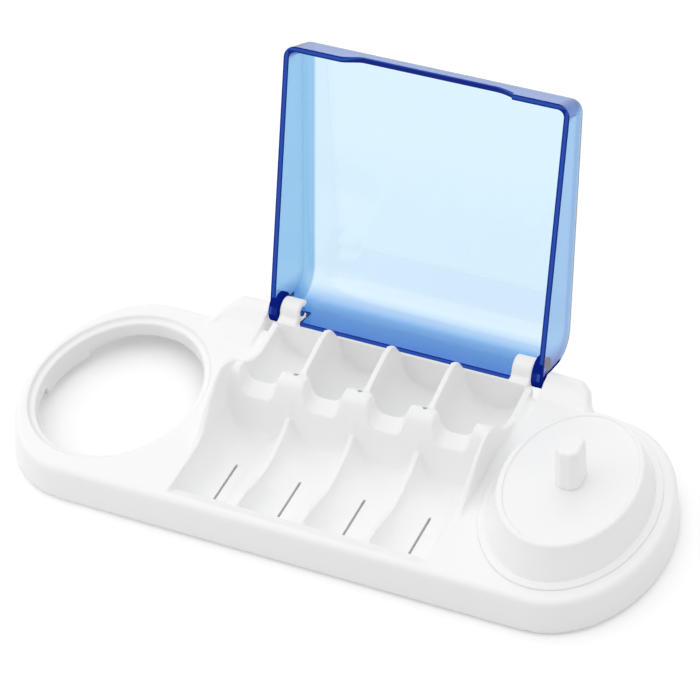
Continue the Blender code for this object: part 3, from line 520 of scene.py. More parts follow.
def rear_block():
    """The saddle, the walls between the wells and the back wall in one run."""
    face = [(y - SADDLE_SKIN * (1 - 0.9 * z / SADDLE_TOP_Z), z) for y, z in smooth_line(SADDLE_FACE)]
    profile = [(face[0][0], BAY_FLOOR_Z - WALL)] + face
    profile += [(SADDLE_BACK_Y - 1.5, SADDLE_TOP_Z - 0.6), (SADDLE_BACK_Y, SADDLE_TOP_Z - 1.6),
                (SADDLE_BACK_Y + 2.4, REAR_FIN_Z - 3.0), (23.5, REAR_FIN_Z - 1.4), (30.5, REAR_FIN_Z),
                (BACK_Y - 9.0, REAR_FIN_Z - 0.1), (BACK_Y - 6.4, REAR_FIN_Z - 1.8),
                (BACK_Y - 3.6, BACK_TOP_Z + 3), (BACK_Y - 1.8, BACK_TOP_Z + 0.2),
                (BACK_Y, BACK_TOP_Z - 0.4), (BACK_Y, BAY_FLOOR_Z - WALL)]
    edge = BAY_CENTRES[-1] + BAY_HALF + 0.6
    return prism(profile, BAY_X - edge, BAY_X + edge)


def outer_trim(side):
    """Brings the saddle's end and the outermost wells' outer walls down to the outer fins' line."""
    line = [(y, z - 0.2) for y, z in smooth_line(OUTER_TOP) if y > SADDLE_TOP_Y]
    end = BACK_Y - BACK_WALL
    top = SADDLE_TOP_Z + REACH
    profile = line + [(end, DECK_Z + 0.8), (end, top), (line[0][0], top)]
    return prism(profile, BAY_X + side * (BAY_CENTRES[-1] + 6.0), BAY_X + side * (FLANK + REACH))


def outer_fin(side):
    """The outermost wall of the bays, swept up to the saddle; it ends clear of the lid's lug."""
    back = HINGE_Y - LUG_RADIUS - LID_SIDE_GAP
    start, end = OUTER_TOP[0][0], OUTER_TOP[-1][0]
    profile = [(start, DECK_Z - WALL)] + smooth_line(OUTER_TOP)
    profile += [((end + back) / 2, DECK_Z + 0.8), (back, BACK_TOP_Z - 0.2), (back, DECK_Z - WALL)]
    inner = BAY_X + side * (FLANK - OUTER_FIN - 0.4)
    return prism(profile, inner, BAY_X + side * FLANK)


def shoulder(side):
    """A ramp that rises from the deck to the hinge and runs out into the tray's side."""
    out = SHOULDER_OUT - SHOULDER_IN
    stations = [(0.0, SHOULDER_BACK_Y, SHOULDER_Z), (0.8 * out, SHOULDER_BACK_Y - 0.4, SHOULDER_Z - 0.3),
                (out, SHOULDER_BACK_Y - 2.6, SHOULDER_Z - 1.4),
                (out + 1.8, HALF_DEPTH + 2.8, DECK_Z + 1.2), (out + 5.0, HALF_DEPTH - 0.6, DECK_Z - 0.4)]
    rings = []
    for run, back, top in stations:
        x = BAY_X + side * (SHOULDER_IN + run)
        rise = top - DECK_Z
        profile = [(SHOULDER_FRONT_Y, DECK_Z - WALL), (SHOULDER_FRONT_Y, DECK_Z - 0.3),
                   (0.5 * (SHOULDER_FRONT_Y + back), DECK_Z + 0.3 * rise),
                   (back - 7, top - 0.12 * rise), (back - 3.6, top), (back - 1.1, top - 1.1),
                   (back, top - 3.6), (back, 0.0), (back - 12, 0.0)]
        rings.append([(x, y, z) for y, z in profile])
    return loft(rings)


def clip(side):
    """A C-shaped hook on the back wall that grips the lid's pin and opens to the rear."""
    bore = PIN_RADIUS + GAP
    centre = (HINGE_Y, HINGE_Z)
    outer = arc(centre, CLIP_RADIUS, CLIP_TIP_DEG, 180, 10)
    inner = arc(centre, bore, CLIP_TIP_DEG, CLIP_FOOT_DEG, 14)
    root = BACK_Y - BACK_WALL + 0.3
    profile = outer + [(root, HINGE_Z - 1.0), (root, HINGE_Z - CLIP_RADIUS - 3)]
    profile += arc(centre, CLIP_RADIUS, CLIP_ROOT_DEG, CLIP_FOOT_DEG, 4) + inner[::-1]
    middle = BAY_X + side * CLIP_CENTRE
    return prism(profile, middle - CLIP_WIDTH / 2, middle + CLIP_WIDTH / 2)


def height_at(line, y):
    """The height of a (y, z) line."""
    for (y0, z0), (y1, z1) in zip(line, line[1:]):
        if y <= y1:
            return z0 + (z1 - z0) * max(y - y0, 0.0) / (y1 - y0)
    return line[-1][1]


def trough(centre, y, half, floor, left, right, steps=36, ease=0.0):
    """One section of a half-round channel; its sides spring from the left and right heights.

    Ease rounds the right side over towards its fin.
    """
    outline = []
    for i in range(steps + 1):
        x = -half * math.cos(math.pi * i / steps)
        spring = left if x < 0 else right
        sag = 1 - math.sqrt(max(1 - (x / BAY_HALF) ** 2, 0.0))
        if x > 0 and ease:
            rise = min(max((x / BAY_HALF - EASE_FROM) / (1 - EASE_FROM), 0.0), 1.0)
            sag += ease * (rise * rise * (3 - 2 * rise) - sag)
        outline.append((x, max(BAY_FLOOR_Z + (spring - BAY_FLOOR_Z) * sag, floor)))
    top = SADDLE_TOP_Z + REACH
    lean_left = OUTER_LEAN if centre == BAY_CENTRES[0] else 0.0
    lean_right = OUTER_LEAN if centre == BAY_CENTRES[-1] else 0.0
    bend = max(DECK_Z + 1.5, floor + 0.5)
    outline += [(half, bend), (half + lean_right, top), (-half - lean_left, top), (-half, bend)]
    return [(BAY_X + centre + x, y, z) for x, z in outline]


def bay(centre):
    """The room of one bay: a half-round trough between the front slope and the saddle's face."""
    floor = smooth_line(FRONT_SLOPE) + smooth_line(SADDLE_FACE) + [(SADDLE_TOP_Y + 1, SADDLE_TOP_Z + 2)]
    fins = smooth_line(FIN_TOP)
    stations = sorted({y for y, _ in floor + fins})
    rings = []
    for y in stations:
        fin = height_at(fins, y) - 0.3
        left = DECK_Z + 0.5 if centre == BAY_CENTRES[0] else fin
        right = DECK_Z + 0.5 if centre == BAY_CENTRES[-1] else fin
        ease = 0.0
        if centre != BAY_CENTRES[-1] and EASE_FRONT_Y < y < EASE_BACK_Y:
            ease = math.sin(math.pi * (y - EASE_FRONT_Y) / (EASE_BACK_Y - EASE_FRONT_Y))
        rings.append(trough(centre, y, BAY_HALF, height_at(floor, y), left, right, ease=ease))
    return loft(rings)


def well(centre):
    """The half-round room behind the saddle: rounded in front, with a flat back wall."""
    rings = []
    for turn in WELL_TURNS:
        y = WELL_FRONT_Y + WELL_ROUND * (1 - math.cos(math.radians(turn)))
        half = BAY_HALF * math.sin(math.radians(turn))
        rings.append(trough(centre, y, half, BAY_FLOOR_Z, DECK_Z + 0.5, DECK_Z + 0.5))
    rings.append(trough(centre, WELL_BACK_Y, BAY_HALF, BAY_FLOOR_Z, DECK_Z + 0.5, DECK_Z + 0.5))
    return loft(rings)


def notch(centre):
    """The rounded gap in the saddle that a brush head's neck lies in."""
    top = SADDLE_TOP_Z + REACH
    flat = NOTCH_HALF - NOTCH_CORNER
    rise = NOTCH_Z + NOTCH_RISE
    rings = []
    for y, low in ((NOTCH_LIP_Y - REACH, NOTCH_Z), (NOTCH_LIP_Y, NOTCH_Z), (WELL_FRONT_Y, rise),
                   (WELL_FRONT_Y + WELL_ROUND, rise)):
        outline = arc((-flat, low + NOTCH_CORNER), NOTCH_CORNER, 180, 270, 5)
        outline += arc((flat, low + NOTCH_CORNER), NOTCH_CORNER, 270, 360, 5)
        outline += [(NOTCH_HALF + NOTCH_FLARE, top), (-NOTCH_HALF - NOTCH_FLARE, top)]
        rings.append([(BAY_X + centre + x, y, z) for x, z in outline])
    return loft(rings)


def fin_dip():
    """Lowers the fins between the front parts of the bays to their sweeping line."""
    top = DECK_Z + 0.5
    profile = smooth_line(FIN_TOP) + [(FIN_TOP[-1][0], top), (FIN_TOP[0][0], top)]
    edge = BAY_CENTRES[-1] + 1.3
    return prism(profile, BAY_X - edge, BAY_X + edge)


def bay_cutters(tray):
    """Opens the bays, the wells behind them and the notches between."""
    cut(tray, "fin_dip", fin_dip())
    for number, centre in enumerate(BAY_CENTRES, start=1):
        cut(tray, f"bay_room_{number}", bay(centre))
        cut(tray, f"well_room_{number}", well(centre))
        cut(tray, f"notch_{number}", notch(centre))


def fine_openings(tray):
    """The narrow slots and holes, cut after the fillets are made."""
    for number, centre in enumerate(BAY_CENTRES, start=1):
        middle = BAY_X + centre
        slot = block(middle - SLOT_HALF, middle + SLOT_HALF, SLOT_FRONT_Y, SLOT_BACK_Y, -REACH,
                     BAY_FLOOR_Z + REACH)
        cut(tray, f"drain_slot_{number}", slot)
    for number, centre in enumerate(FIN_CENTRES, start=1):
        hole = drum((BAY_X + centre, POST_HOLE_Y), HOLE_RADIUS, SADDLE_TOP_Z - POST_HOLE_DEPTH - 1.0,
                    SADDLE_TOP_Z + REACH, 16)
        cut(tray, f"post_hole_{number}", hole)


def underside(tray):
    """The moulding's open underside, which leaves the walls, seats and bosses standing."""
    roof = DECK_Z - WALL
    hollow = cut(tray, "underside", loft([stadium(WALL, -REACH), stadium(WALL + 0.5, roof)]))
    cut(hollow, "keep_bays", block(BAY_X - FLANK, BAY_X + FLANK, BAY_FRONT_Y + 1.0, HALF_DEPTH + REACH,
                                   -2 * REACH, DECK_Z))
    skirt = (RING_RIM[0] - RING_LEDGE + SKIRT, RING_RIM[1] - RING_LEDGE + SKIRT)
    cut(hollow, "keep_skirt", oval((RING_X, RING_Y), skirt, -2 * REACH, DECK_Z))
    cup = (LIP[0] + SEAT_GAP + WALL, LIP[1] + SEAT_GAP + WALL)
    cut(hollow, "keep_seat", oval((CHARGER_X, CHARGER_Y), cup, -2 * REACH, DECK_Z))
    boss = FOOT_RADIUS + FOOT_BOSS_WALL
    for name, side, y in FEET:
        middle = (BAY_X + side * FOOT_OUT, y)
        if y < 0:
            cut(hollow, f"keep_{name}", drum(middle, boss, -2 * REACH, DECK_Z, 24))
        cut(tray, f"room_{name}", drum(middle, boss, -REACH, FOOT_THICK - FOOT_PROUD + GAP, 24))
    saddle_back = WELL_FRONT_Y - WALL
    saddle_room = [(SADDLE_FOOT_Y + WALL + 0.8, -REACH), (4.9 + WALL, SADDLE_ROOF_Z),
                   (saddle_back, SADDLE_ROOF_Z), (saddle_back, -REACH)]
    edge = BAY_CENTRES[-1] + BAY_HALF - FIN
    cut(tray, "saddle_hollow", prism(saddle_room, BAY_X - edge, BAY_X + edge))
    outline = [*FIN_HOLLOW, *((-x, z) for x, z in FIN_HOLLOW[::-1])]
    for i in range(BAY_COUNT + 1):
        middle = BAY_X + (i - BAY_COUNT / 2) * BAY_PITCH
        rings = [[(middle + x, y, z) for x, z in outline] for y in (FRONT_SLOPE[-1][0], WELL_BACK_Y - 1)]
        cut(tray, f"core_{i + 1}", loft(rings))


def left_ring(tray):
    """The through hole with a shallow ledge, and below it a skirt with one deeper tab."""
    middle = (RING_X, RING_Y)
    hole = (RING_RIM[0] - RING_LEDGE, RING_RIM[1] - RING_LEDGE)
    shelf = DECK_Z - RING_LEDGE_DROP
    rings = [ellipse(middle, hole, -REACH, 56), ellipse(middle, hole, shelf, 56)]
    rings.append(ellipse(middle, (RING_RIM[0] - 0.4, RING_RIM[1] - 0.4), shelf + 0.4, 56))
    rings.append(ellipse(middle, RING_RIM, DECK_Z + 0.1, 56))
    rings.append(ellipse(middle, RING_RIM, DECK_Z + REACH, 56))
    cut(tray, "ring_room", loft(rings))
    outer = (hole[0] + SKIRT + 0.2, hole[1] + SKIRT + 0.2)
    trim = cut(tray, "skirt_trim", oval(middle, outer, -REACH, SKIRT_Z))
    reach = 2 * END_RADIUS_X
    wedge = [middle] + arc(middle, reach, TAB_FROM_DEG, TAB_TO_DEG, 6)
    cut(trim, "keep_tab", loft([[(x, y, z) for x, y in wedge] for z in (TAB_Z, SKIRT_Z + REACH)]))


def charger_seat(tray):
    """The oval room for the charger, its pierced floor and the way out for a cord."""
    middle = (CHARGER_X, CHARGER_Y)
    room = (LIP[0] + SEAT_GAP, LIP[1] + SEAT_GAP)
    cut(tray, "seat_room", oval(middle, room, SEAT_Z, DECK_Z + REACH, 56))
    cut(tray, "seat_below", oval(middle, room, -REACH, SEAT_Z - SEAT_FLOOR))
    cut(tray, "seat_hole", oval(middle, SEAT_HOLE, 0.0, SEAT_Z + REACH, 40))
    half = CORD_EXIT / 2
    cut(tray, "cord_way", block(CHARGER_X - half, CHARGER_X + half, CHARGER_Y + room[1] - REACH,
                                HALF_DEPTH + REACH, -REACH, SEAT_Z - SEAT_FLOOR - 0.1))


def lid_profile(wall, low):
    """The closed lid's side outline from the hinge axis, drawn in by a wall's thickness."""
    rear = HINGE_INSET - wall
    front = HINGE_INSET - LID_LENGTH
    base = -HINGE_RISE
    slope = math.atan2(LID_REAR_HEIGHT - LID_FRONT_HEIGHT, LID_LENGTH)
    drop = wall / math.cos(slope)

    def top(y):
        return base + LID_REAR_HEIGHT - (HINGE_INSET - y) * math.tan(slope) - drop

    lean = math.atan2(LID_FRONT_DRAFT, LID_FRONT_HEIGHT)
    side = wall / math.cos(lean)

    def face(z):
        return front + side + (z - base) * math.tan(lean)

    rear_radius = LID_REAR_RADIUS - wall
    centre_y = rear - rear_radius
    rear_centre = (centre_y, top(centre_y) - rear_radius / math.cos(slope))
    radius = LID_FRONT_RADIUS - wall
    y = front + LID_FRONT_DRAFT + wall + radius
    for _ in range(8):
        z = top(y) - radius / math.cos(slope)
        y = face(z) + radius / math.cos(lean)
    tilt = math.degrees(slope)
    points = [(rear, low)] + arc(rear_centre, rear_radius, 0, 90 + tilt, 8)
    points += arc((y, z), radius, 90 + tilt, 180 - math.degrees(lean), 5)
    return points + [(face(low), low)]


def lid_form(wall):
    """The lid as a full body whose two ends are rounded over; the inner one runs out below the rim."""
    low = -HINGE_RISE - (REACH if wall else 0.0)
    radius = LID_CORNER - wall
    bend = arc((0.0, 0.0), radius, 0, 90, 5)
    stations = [(LID_HALF - wall - radius + x, radius - inset) for x, inset in bend]
    rings = []
    for x, inset in [(-x, inset) for x, inset in stations] + stations[::-1]:
        rings.append([(x, y, z) for y, z in lid_profile(wall + inset, low)])
    return loft(rings)


def add(name, body):
    """Makes a mesh object from a body in millimetres."""
    mesh = bpy.data.meshes.new(name)
    body.to_mesh(mesh)
    body.free()
    piece = bpy.data.objects.new(name, mesh)
    bpy.context.scene.collection.objects.link(piece)
    return piece


def combine(target, name, body, operation):
    """Adds a boolean step; the tool stays until the piece's modifiers are applied."""
    tool = add(name, body)
    step = target.modifiers.new(name, 'BOOLEAN')
    step.operation = operation
    step.object = tool
    tools.append(tool)
    return tool


def cut(target, name, body):
    """Takes a body out of a piece."""
    return combine(target, name, body, 'DIFFERENCE')


def join(target, name, body):
    """Makes a body one with a piece."""
    return combine(target, name, body, 'UNION')


def apply(piece):
    """Turns a piece's modifiers into plain mesh and clears the tools away."""
    graph = bpy.context.evaluated_depsgraph_get()
    mesh = bpy.data.meshes.new_from_object(piece.evaluated_get(graph))
    piece.modifiers.clear()
    piece.data = mesh
    while tools:
        bpy.data.objects.remove(tools.pop())


def soften(piece, voxel, rounds):
    """Moulded fillets: an even mesh, then a little smoothing."""
    step = piece.modifiers.new("even", 'REMESH')
    step.mode = 'VOXEL'
    step.voxel_size = voxel
    step = piece.modifiers.new("soft", 'SMOOTH')
    step.factor = 0.5
    step.iterations = rounds
    apply(piece)


def crisp(piece, width):
    """Fine bevels along a piece's edges, with its flat faces kept flat in the shading."""
    if width:
        step = piece.modifiers.new("edges", 'BEVEL')
        step.width = width
        step.segments = 3
        step.limit_method = 'ANGLE'
        step.angle_limit = math.radians(BEVEL_DEG)
        step.miter_outer = 'MITER_ARC'
    apply(piece)
    piece.data.shade_smooth()
    piece.data.set_sharp_from_angle(angle=math.radians(SHARP_DEG))
    step = piece.modifiers.new("normals", 'WEIGHTED_NORMAL')
    step.keep_sharp = True
    step.weight = 100
    apply(piece)


def place(piece, at, turn_x=0.0):
    """Moves a piece's mesh from its own millimetres to its place in the model, in metres."""
    turn = Matrix.Rotation(math.radians(turn_x), 4, 'X')
    piece.data.transform(Matrix.Scale(MM, 4) @ Matrix.Translation(PLACE + Vector(at)) @ turn)


def dress(piece, body, node, material):
    """Lets a fine piece stand for a node of the model."""
    piece.data.materials.clear()
    piece.data.materials.append(material)
    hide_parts(node)
    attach(piece, body)


def tray_piece():
    """The white tray, all in one with the bays, the seats, the shoulders and the clips."""
    tray = add("tray_skin", tray_body())
    join(tray, "rear_block", rear_block())
    for side in (-1, 1):
        cut(tray, "outer_trim", outer_trim(side))
        join(tray, "outer_fin", outer_fin(side))
        join(tray, "shoulder", shoulder(side))
    underside(tray)
    bay_cutters(tray)
    left_ring(tray)
    charger_seat(tray)
    for side in (-1, 1):
        join(tray, "clip", clip(side))
    soften(tray, FILLET_MESH, FILLET_ROUNDS)
    fine_openings(tray)
    apply(tray)
    tray.data.shade_smooth()
    tray.data.set_sharp_from_angle(angle=math.radians(TRAY_SHARP_DEG))
    place(tray, (0.0, 0.0, 0.0))
    dress(tray, "tray", "base_tray", white)


def on_edge(face):
    """Says whether a face belongs to the lid's rim, finger notch or lugs, where the tint looks deep."""
    at, normal = face.center, face.normal
    if abs(at.x) > LUG_INNER - EDGE_SLACK and math.hypot(at.y, at.z) < LUG_RADIUS + EDGE_SLACK:
        return True
    beside_clip = abs(abs(at.x) - CLIP_CENTRE) < CLIP_WIDTH / 2 + NOTCH_GAP + EDGE_BAND
    in_rear_wall = at.y > HINGE_INSET - LID_WALL - EDGE_SLACK
    if beside_clip and in_rear_wall and at.z < CLIP_RADIUS + CLIP_ROOM + EDGE_BAND:
        return True
    if normal.z > RIM_SIDE:
        return False
    in_front = at.y < HINGE_INSET - LID_LENGTH + LID_WALL + 1
    grip = in_front and at.z < GRIP_DEPTH - HINGE_RISE + EDGE_BAND
    return grip or at.z < EDGE_BAND - HINGE_RISE


def looks_down(face):
    """Says whether an edge face is the rim's or the finger notch's own underside."""
    at, normal = face.center, face.normal
    in_grip = abs(at.x) < GRIP_HALF + 0.5 and abs(normal.y) < 0.2 and normal.z < -0.1
    return in_grip or normal.z < RIM_DOWN


def grip_line():
    """The finger notch's outline from its right foot to its left one, up from the rim."""
    left = []
    right = []
    for i in range(GRIP_STEPS + 1):
        turn = math.pi * i / GRIP_STEPS
        left.append((GRIP_EASE * i / GRIP_STEPS - GRIP_HALF, GRIP_DEPTH * (1 - math.cos(turn)) / 2))
        share = GRIP_RIGHT_START + (1 - GRIP_RIGHT_START) * math.sin(turn / 2)
        right.append((GRIP_HALF - GRIP_RIGHT_EASE * i / GRIP_STEPS, GRIP_DEPTH * share))
    return [(GRIP_HALF, -REACH)] + right + left[::-1] + [(-GRIP_HALF, -REACH)]


def lid_piece():
    """The clear lid, modelled closed round its hinge axis and then turned to where it stands open."""
    lid = add("lid_skin", lid_form(0.0))
    cut(lid, "lid_room", lid_form(LID_WALL))
    for side, word in ((-1, "left"), (1, "right")):
        near = side * (CLIP_CENTRE - CLIP_WIDTH / 2 - NOTCH_GAP)
        far = side * (LUG_INNER + LUG_WIDTH / 4)
        cut(lid, f"clip_notch_{word}", block(near, far, HINGE_INSET - LID_WALL - 1, HINGE_INSET + REACH,
                                             -HINGE_RISE - REACH, CLIP_RADIUS + CLIP_ROOM))
        cheek = prism(arc((0.0, 0.0), LUG_RADIUS, 5, 350, 23), side * LUG_INNER, side * (LID_HALF - LUG_SUNK))
        join(lid, f"lug_{word}", cheek)
        pin_end = side * (LUG_INNER - NOTCH_GAP - CLIP_WIDTH)
        pin = prism(arc((0.0, 0.0), PIN_RADIUS, 10, 347.5, 15), pin_end, side * (LUG_INNER + LUG_WIDTH / 2))
        join(lid, f"pin_{word}", pin)
    front = HINGE_INSET - LID_LENGTH
    ends = (front - REACH, front + LID_WALL + REACH)
    cut(lid, "finger_notch", loft([[(x, y, z - HINGE_RISE) for x, z in grip_line()] for y in ends]))
    crisp(lid, EDGE_BEVEL)
    faces = [face for face in lid.data.polygons if on_edge(face)]
    edges = {face.index: RIM_SLOT if looks_down(face) else EDGE_SLOT for face in faces}
    place(lid, (BAY_X, HINGE_Y, HINGE_Z), -LID_OPEN_DEG)
    for vertex in lid.data.vertices:
        vertex.co.y = min(vertex.co.y, cad_box[1][1])        # the visible lid stays in the model's box
    dress(lid, "lid", "lid_shell", blue)
    lid.data.materials.append(deep_blue)
    lid.data.materials.append(rim_blue)
    for number, slot in edges.items():
        lid.data.polygons[number].material_index = slot
    lid.visible_diffuse = False              # soft light reaches the wells as through clear plastic


def charger_skin():
    """The charger's outer form, with its fine lip, the line at the foot of its wall and its dished top."""
    lip = (LIP[0] + LIP_WIDER, LIP[1] + LIP_WIDER)
    lip_top = LIP_Z + LIP_HEIGHT
    rings = [(PLUG, COVER_Z - GAP + 0.1), (PLUG, LIP_Z - 0.3), (lip, DECK_Z + 0.04)]
    for inset, rise in arc((LIP_EDGE, lip_top - LIP_EDGE), LIP_EDGE, 180, 90, 6):
        rings.append(((lip[0] - inset, lip[1] - inset), rise))
    for out_x, out_y, rise in FOOT_LINE:
        rings.append(((CHARGER_FOOT[0] + out_x, CHARGER_FOOT[1] + out_y), lip_top + rise))
    edge_z = CHARGER_TOP_Z - TOP_EDGE
    rings.append(((CHARGER_TOP[0] + 0.1, CHARGER_TOP[1] + 0.16), edge_z - 0.5))
    for inset, rise in arc((TOP_EDGE, 0.0), TOP_EDGE, 165, 90, 6):
        rings.append(((CHARGER_TOP[0] - inset, CHARGER_TOP[1] - inset), edge_z + rise))
    for inset, drop in DISH_LINE:
        inset += TOP_EDGE
        rings.append(((CHARGER_TOP[0] - inset, CHARGER_TOP[1] - inset), CHARGER_TOP_Z - drop))
    return loft([ellipse((0.0, 0.0), axes, z, 96) for axes, z in rings])


def post_outline(inset):
    """An eight-sided outline with softened corners."""
    a = POST_OUT[0] - inset
    b = POST_OUT[1] - inset
    flat_x = a * POST_FACETS[0]
    flat_y = b * POST_FACETS[1]
    corners = [(flat_x, -b), (a, -flat_y), (a, flat_y), (flat_x, b)]
    corners += [(-x, -y) for x, y in corners]
    points = []
    for number, corner in enumerate(corners):
        here = Vector(corner)
        before = Vector(corners[number - 1])
        after = Vector(corners[(number + 1) % len(corners)])
        points.append(here.lerp(before, CORNER_START))
        points.append(here.lerp(before, CORNER_ROUND) * CORNER_IN)
        points.append(here.lerp(after, CORNER_ROUND) * CORNER_IN)
        points.append(here.lerp(after, CORNER_START))
    return points


def post_skin():
    """The upright post with its flat sides, its rounded head and the small fillet at its foot."""
    top = CHARGER_TOP_Z - DISH
    rings = [(-POST_FILLET, top - 1.0)]
    for out, rise in arc((POST_FILLET, POST_FILLET), POST_FILLET, 270, 180, 4):
        rings.append((out - POST_FILLET, top + rise))
    for inset, rise in arc((POST_HEAD_EDGE, 0.0), POST_HEAD_EDGE, 180, 95, 6):
        rings.append((inset, POST_HEAD_Z - POST_HEAD_EDGE + rise))
    return loft([[(x, y, z) for x, y in post_outline(inset)] for inset, z in rings])


def charger_piece():
    """The charger's housing with its post, hollow from below."""
    housing = add("charger_skin", charger_skin())
    mouth = (PLUG[0] - PLUG_WALL, PLUG[1] - PLUG_WALL)
    room = (mouth[0] - SEAL_WIDTH - GAP, mouth[1] - SEAL_WIDTH - GAP)
    ceiling = (CHARGER_TOP[0] - CHARGER_WALL, CHARGER_TOP[1] - CHARGER_WALL)
    rings = [(mouth, 0.0), (mouth, SHELF_Z), (room, SHELF_Z), (room, LIP_Z + 1), (ceiling, CEILING_Z)]
    cut(housing, "housing_room", loft([ellipse((0.0, 0.0), axes, z, 48) for axes, z in rings]))
    join(housing, "post", post_skin())
    cut(housing, "core_bore", drum((0.0, 0.0), CORE_RADIUS + GAP, CEILING_Z - 1, POST_TOP_Z - WALL, 24))
    hole = SCREW_RADIUS + GAP
    for number, spot in enumerate(SCREW_PLACES, start=1):
        boss = drum(spot, hole + BOSS_WALL, COVER_Z + COVER_THICK + GAP, CEILING_Z + 1, 20)
        join(housing, f"screw_boss_{number}", boss)
        drill = drum(spot, hole, COVER_Z, COVER_Z + SCREW_HEAD + SCREW_LENGTH + 1, 20)
        cut(housing, f"screw_hole_{number}", drill)
    crisp(housing, 0.0)
    place(housing, (CHARGER_X, CHARGER_Y, 0.0))
    dress(housing, "charger", "charger_housing", white)


def new_material(name):
    """A material with its shader tree and its main shader."""
    material = bpy.data.materials.new(name)
    material.use_nodes = True
    return material, material.node_tree, material.node_tree.nodes["Principled BSDF"]


def grain(tree, shader, scale, detail, gloss, strength, distance):
    """A fine noise that makes a shader's gloss and its relief uneven; gloss is a range of roughness."""
    where = tree.nodes.new("ShaderNodeTexCoord")
    fine = tree.nodes.new("ShaderNodeTexNoise")
    fine.inputs["Scale"].default_value = scale
    fine.inputs["Detail"].default_value = detail
    spread = tree.nodes.new("ShaderNodeMapRange")
    spread.inputs["To Min"].default_value, spread.inputs["To Max"].default_value = gloss
    relief = tree.nodes.new("ShaderNodeBump")
    relief.inputs["Strength"].default_value = strength
    relief.inputs["Distance"].default_value = distance
    tree.links.new(where.outputs["Object"], fine.inputs["Vector"])
    tree.links.new(fine.outputs["Fac"], spread.inputs["Value"])
    tree.links.new(spread.outputs[0], shader.inputs["Roughness"])
    tree.links.new(fine.outputs["Fac"], relief.inputs["Height"])
    tree.links.new(relief.outputs[0], shader.inputs["Normal"])
    return where


def substance(name, light, dark, rough, fineness, bump, metallic=0.0, shine=0.5):
    """A solid material: a slightly uneven colour, an uneven gloss and a fine grain."""
    material, tree, shader = new_material(name)
    shader.inputs["Metallic"].default_value = metallic
    shader.inputs["Specular IOR Level"].default_value = shine
    where = grain(tree, shader, fineness, 3.0, (rough - 0.05, rough + 0.05), bump, 0.0001)
    cloud = tree.nodes.new("ShaderNodeTexNoise")
    cloud.inputs["Scale"].default_value = CLOUD_SCALE
    cloud.inputs["Detail"].default_value = 2.0
    tree.links.new(where.outputs["Object"], cloud.inputs["Vector"])
    tree.links.new(laid_over(tree, cloud.outputs["Fac"], dark, light), shader.inputs["Base Color"])
    return material


def lid_place(tree):
    """Where a point lies on the closed lid, measured from its hinge axis, as three sockets."""
    where = tree.nodes.new("ShaderNodeTexCoord")
    closed = tree.nodes.new("ShaderNodeMapping")
    closed.vector_type = 'TEXTURE'
    closed.inputs["Location"].default_value = (PLACE + Vector((BAY_X, HINGE_Y, HINGE_Z))) * MM
    closed.inputs["Rotation"].default_value = (math.radians(-LID_OPEN_DEG), 0, 0)
    parts = tree.nodes.new("ShaderNodeSeparateXYZ")
    tree.links.new(where.outputs["Object"], closed.inputs["Vector"])
    tree.links.new(closed.outputs[0], parts.inputs[0])
    return parts.outputs


def clear_blue():
    """Tinted clear plastic: nearly colourless through one wall, and deep blue along its hinge end, a painted
    shade of the shaded floor seen through it.
    """
    material, tree, shader = new_material("clear_blue_fine")
    shader.inputs["Transmission Weight"].default_value = 1.0
    shader.inputs["IOR"].default_value = PLASTIC_IOR
    grain(tree, shader, 60.0, 2.0, (0.015, 0.035), 0.02, 0.0002)
    x, y, z = lid_place(tree)
    # painted shade: the hinge end darkens to deep blue towards its rim, for the shaded floor seen through it
    shade = tree.nodes.new("ShaderNodeValToRGB")
    ramp = shade.color_ramp
    ramp.elements[0].color = (*HINGE_SHADE_TINTS[0], 1)
    for share, tint in zip(HINGE_SHADE_PLACES, HINGE_SHADE_TINTS[1:]):
        ramp.elements.new(share).color = (*tint, 1)
    ramp.elements[-1].color = (1, 1, 1, 1)
    height = band(tree, z, -HINGE_RISE, LID_REAR_HEIGHT - HINGE_RISE - HINGE_SHADE_END)
    tree.links.new(height, shade.inputs["Fac"])
    colour = laid_over(tree, band(tree, y, *HINGE_SHADE_BAND), PANEL_TINT, shade.outputs["Color"])
    flank = band(tree, worked_out(tree, 'ABSOLUTE', x), *(LID_HALF - inside for inside in SIDE_BAND))
    front = band(tree, y, *(HINGE_INSET - LID_LENGTH + inside for inside in FRONT_BAND))
    colour = laid_over(tree, flank, colour, SIDE_TINT, 'MULTIPLY')
    colour = laid_over(tree, front, colour, FRONT_TINT, 'MULTIPLY')
    tree.links.new(colour, shader.inputs["Base Color"])
    absorb = tree.nodes.new("ShaderNodeVolumeAbsorption")
    absorb.inputs["Color"].default_value = (*DEPTH_BLUE, 1)
    absorb.inputs["Density"].default_value = DEPTH_DENSITY
    tree.links.new(absorb.outputs[0], tree.nodes["Material Output"].inputs["Volume"])
    return material


def add_borders(material):
    """Darkens the rim's material towards both edges of the wall that it ends."""
    tree = material.node_tree
    shader = tree.nodes["Principled BSDF"]
    colour = shader.inputs["Base Color"].links[0].from_socket
    x, y, _ = lid_place(tree)
    half = LID_WALL / 2
    away = [worked_out(tree, 'ABSOLUTE', worked_out(tree, 'SUBTRACT', value, middle * MM))
            for value, middle in ((worked_out(tree, 'ABSOLUTE', x), LID_HALF - half),
                                  (y, HINGE_INSET - LID_LENGTH + half), (y, HINGE_INSET - half))]
    nearest = worked_out(tree, 'MINIMUM', away[0], worked_out(tree, 'MINIMUM', away[1], away[2]))
    border = band(tree, nearest, half - BORDER_WIDTH - BORDER_BLUR, half - BORDER_WIDTH + BORDER_BLUR)
    tree.links.new(laid_over(tree, border, colour, BORDER_TINT), shader.inputs["Base Color"])


def starting(*words):
    """The names of the nodes that start with one of the words."""
    return [name for name in nodes if name.startswith(words)]


def paint(material, *names):
    """Gives a material to nodes of the model."""
    for name in names:
        for slot in nodes[name].material_slots:
            slot.material = material


camera()
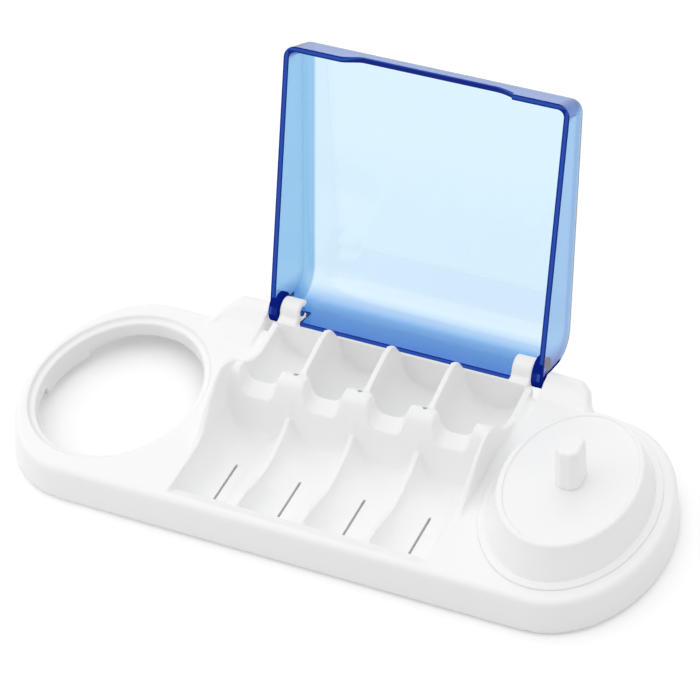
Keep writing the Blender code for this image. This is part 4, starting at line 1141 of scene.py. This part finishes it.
# Each solid material's light and dark tones, roughness, fineness of its grain and relief
white = substance("white_plastic_fine", (0.965, 0.965, 0.965), (0.955, 0.955, 0.955), 0.3, 900.0, 0.06)
blue = clear_blue()
deep_blue = substance("clear_blue_edge", (0.004, 0.018, 0.27), (0.003, 0.012, 0.2), 0.25, 400.0, 0.04,
                      shine=0.0)
rim_blue = substance("clear_blue_rim", (0.025, 0.11, 0.55), (0.018, 0.07, 0.48), 0.25, 400.0, 0.04,
                     shine=0.1)
add_borders(rim_blue)
rubber = substance("grey_rubber_fine", (0.33, 0.33, 0.34), (0.27, 0.27, 0.28), 0.75, 1500.0, 0.3)
steel = substance("zinc_steel_fine", (0.62, 0.62, 0.64), (0.52, 0.52, 0.55), 0.35, 1200.0, 0.2, metallic=1.0)
copper = substance("copper_wire_fine", (0.72, 0.33, 0.14), (0.58, 0.24, 0.09), 0.32, 1800.0, 0.3,
                   metallic=1.0)
ferrite = substance("ferrite_fine", (0.07, 0.07, 0.075), (0.04, 0.04, 0.045), 0.55, 1600.0, 0.4)
nylon = substance("natural_nylon_fine", (0.8, 0.77, 0.68), (0.74, 0.71, 0.62), 0.45, 1100.0, 0.2)
laminate = substance("green_laminate_fine", (0.06, 0.27, 0.11), (0.04, 0.2, 0.08), 0.4, 2000.0, 0.25)
epoxy = substance("black_epoxy_fine", (0.05, 0.05, 0.055), (0.03, 0.03, 0.034), 0.5, 1700.0, 0.3)
film = substance("red_film_fine", (0.5, 0.07, 0.04), (0.4, 0.05, 0.03), 0.35, 1300.0, 0.2)
tray_piece()
lid_piece()
charger_piece()
paint(white, "charger_base")
paint(rubber, "charger_seal", "cord_gland", *starting("tray_foot", "charger_pad"))
paint(steel, *starting("base_screw"))
paint(copper, "primary_coil")
paint(nylon, "coil_bobbin", "input_fuse")
paint(ferrite, "ferrite_core", "power_inductor")
paint(laminate, "circuit_board")
paint(epoxy, "filter_capacitor", "bridge_rectifier", "driver_chip")
paint(film, "resonant_capacitor")

stage()
sun("key", (-0.38, 0.17, 0.91), strength=1.18, spread_deg=105)
panel("left_fill", (-0.3, -0.27, 0.14), watts=0.11, size=0.25)
sun("right_fill", (0.85, -0.3, 0.45), strength=0.2, spread_deg=60)
bpy.context.scene.view_settings.view_transform = 'Standard'
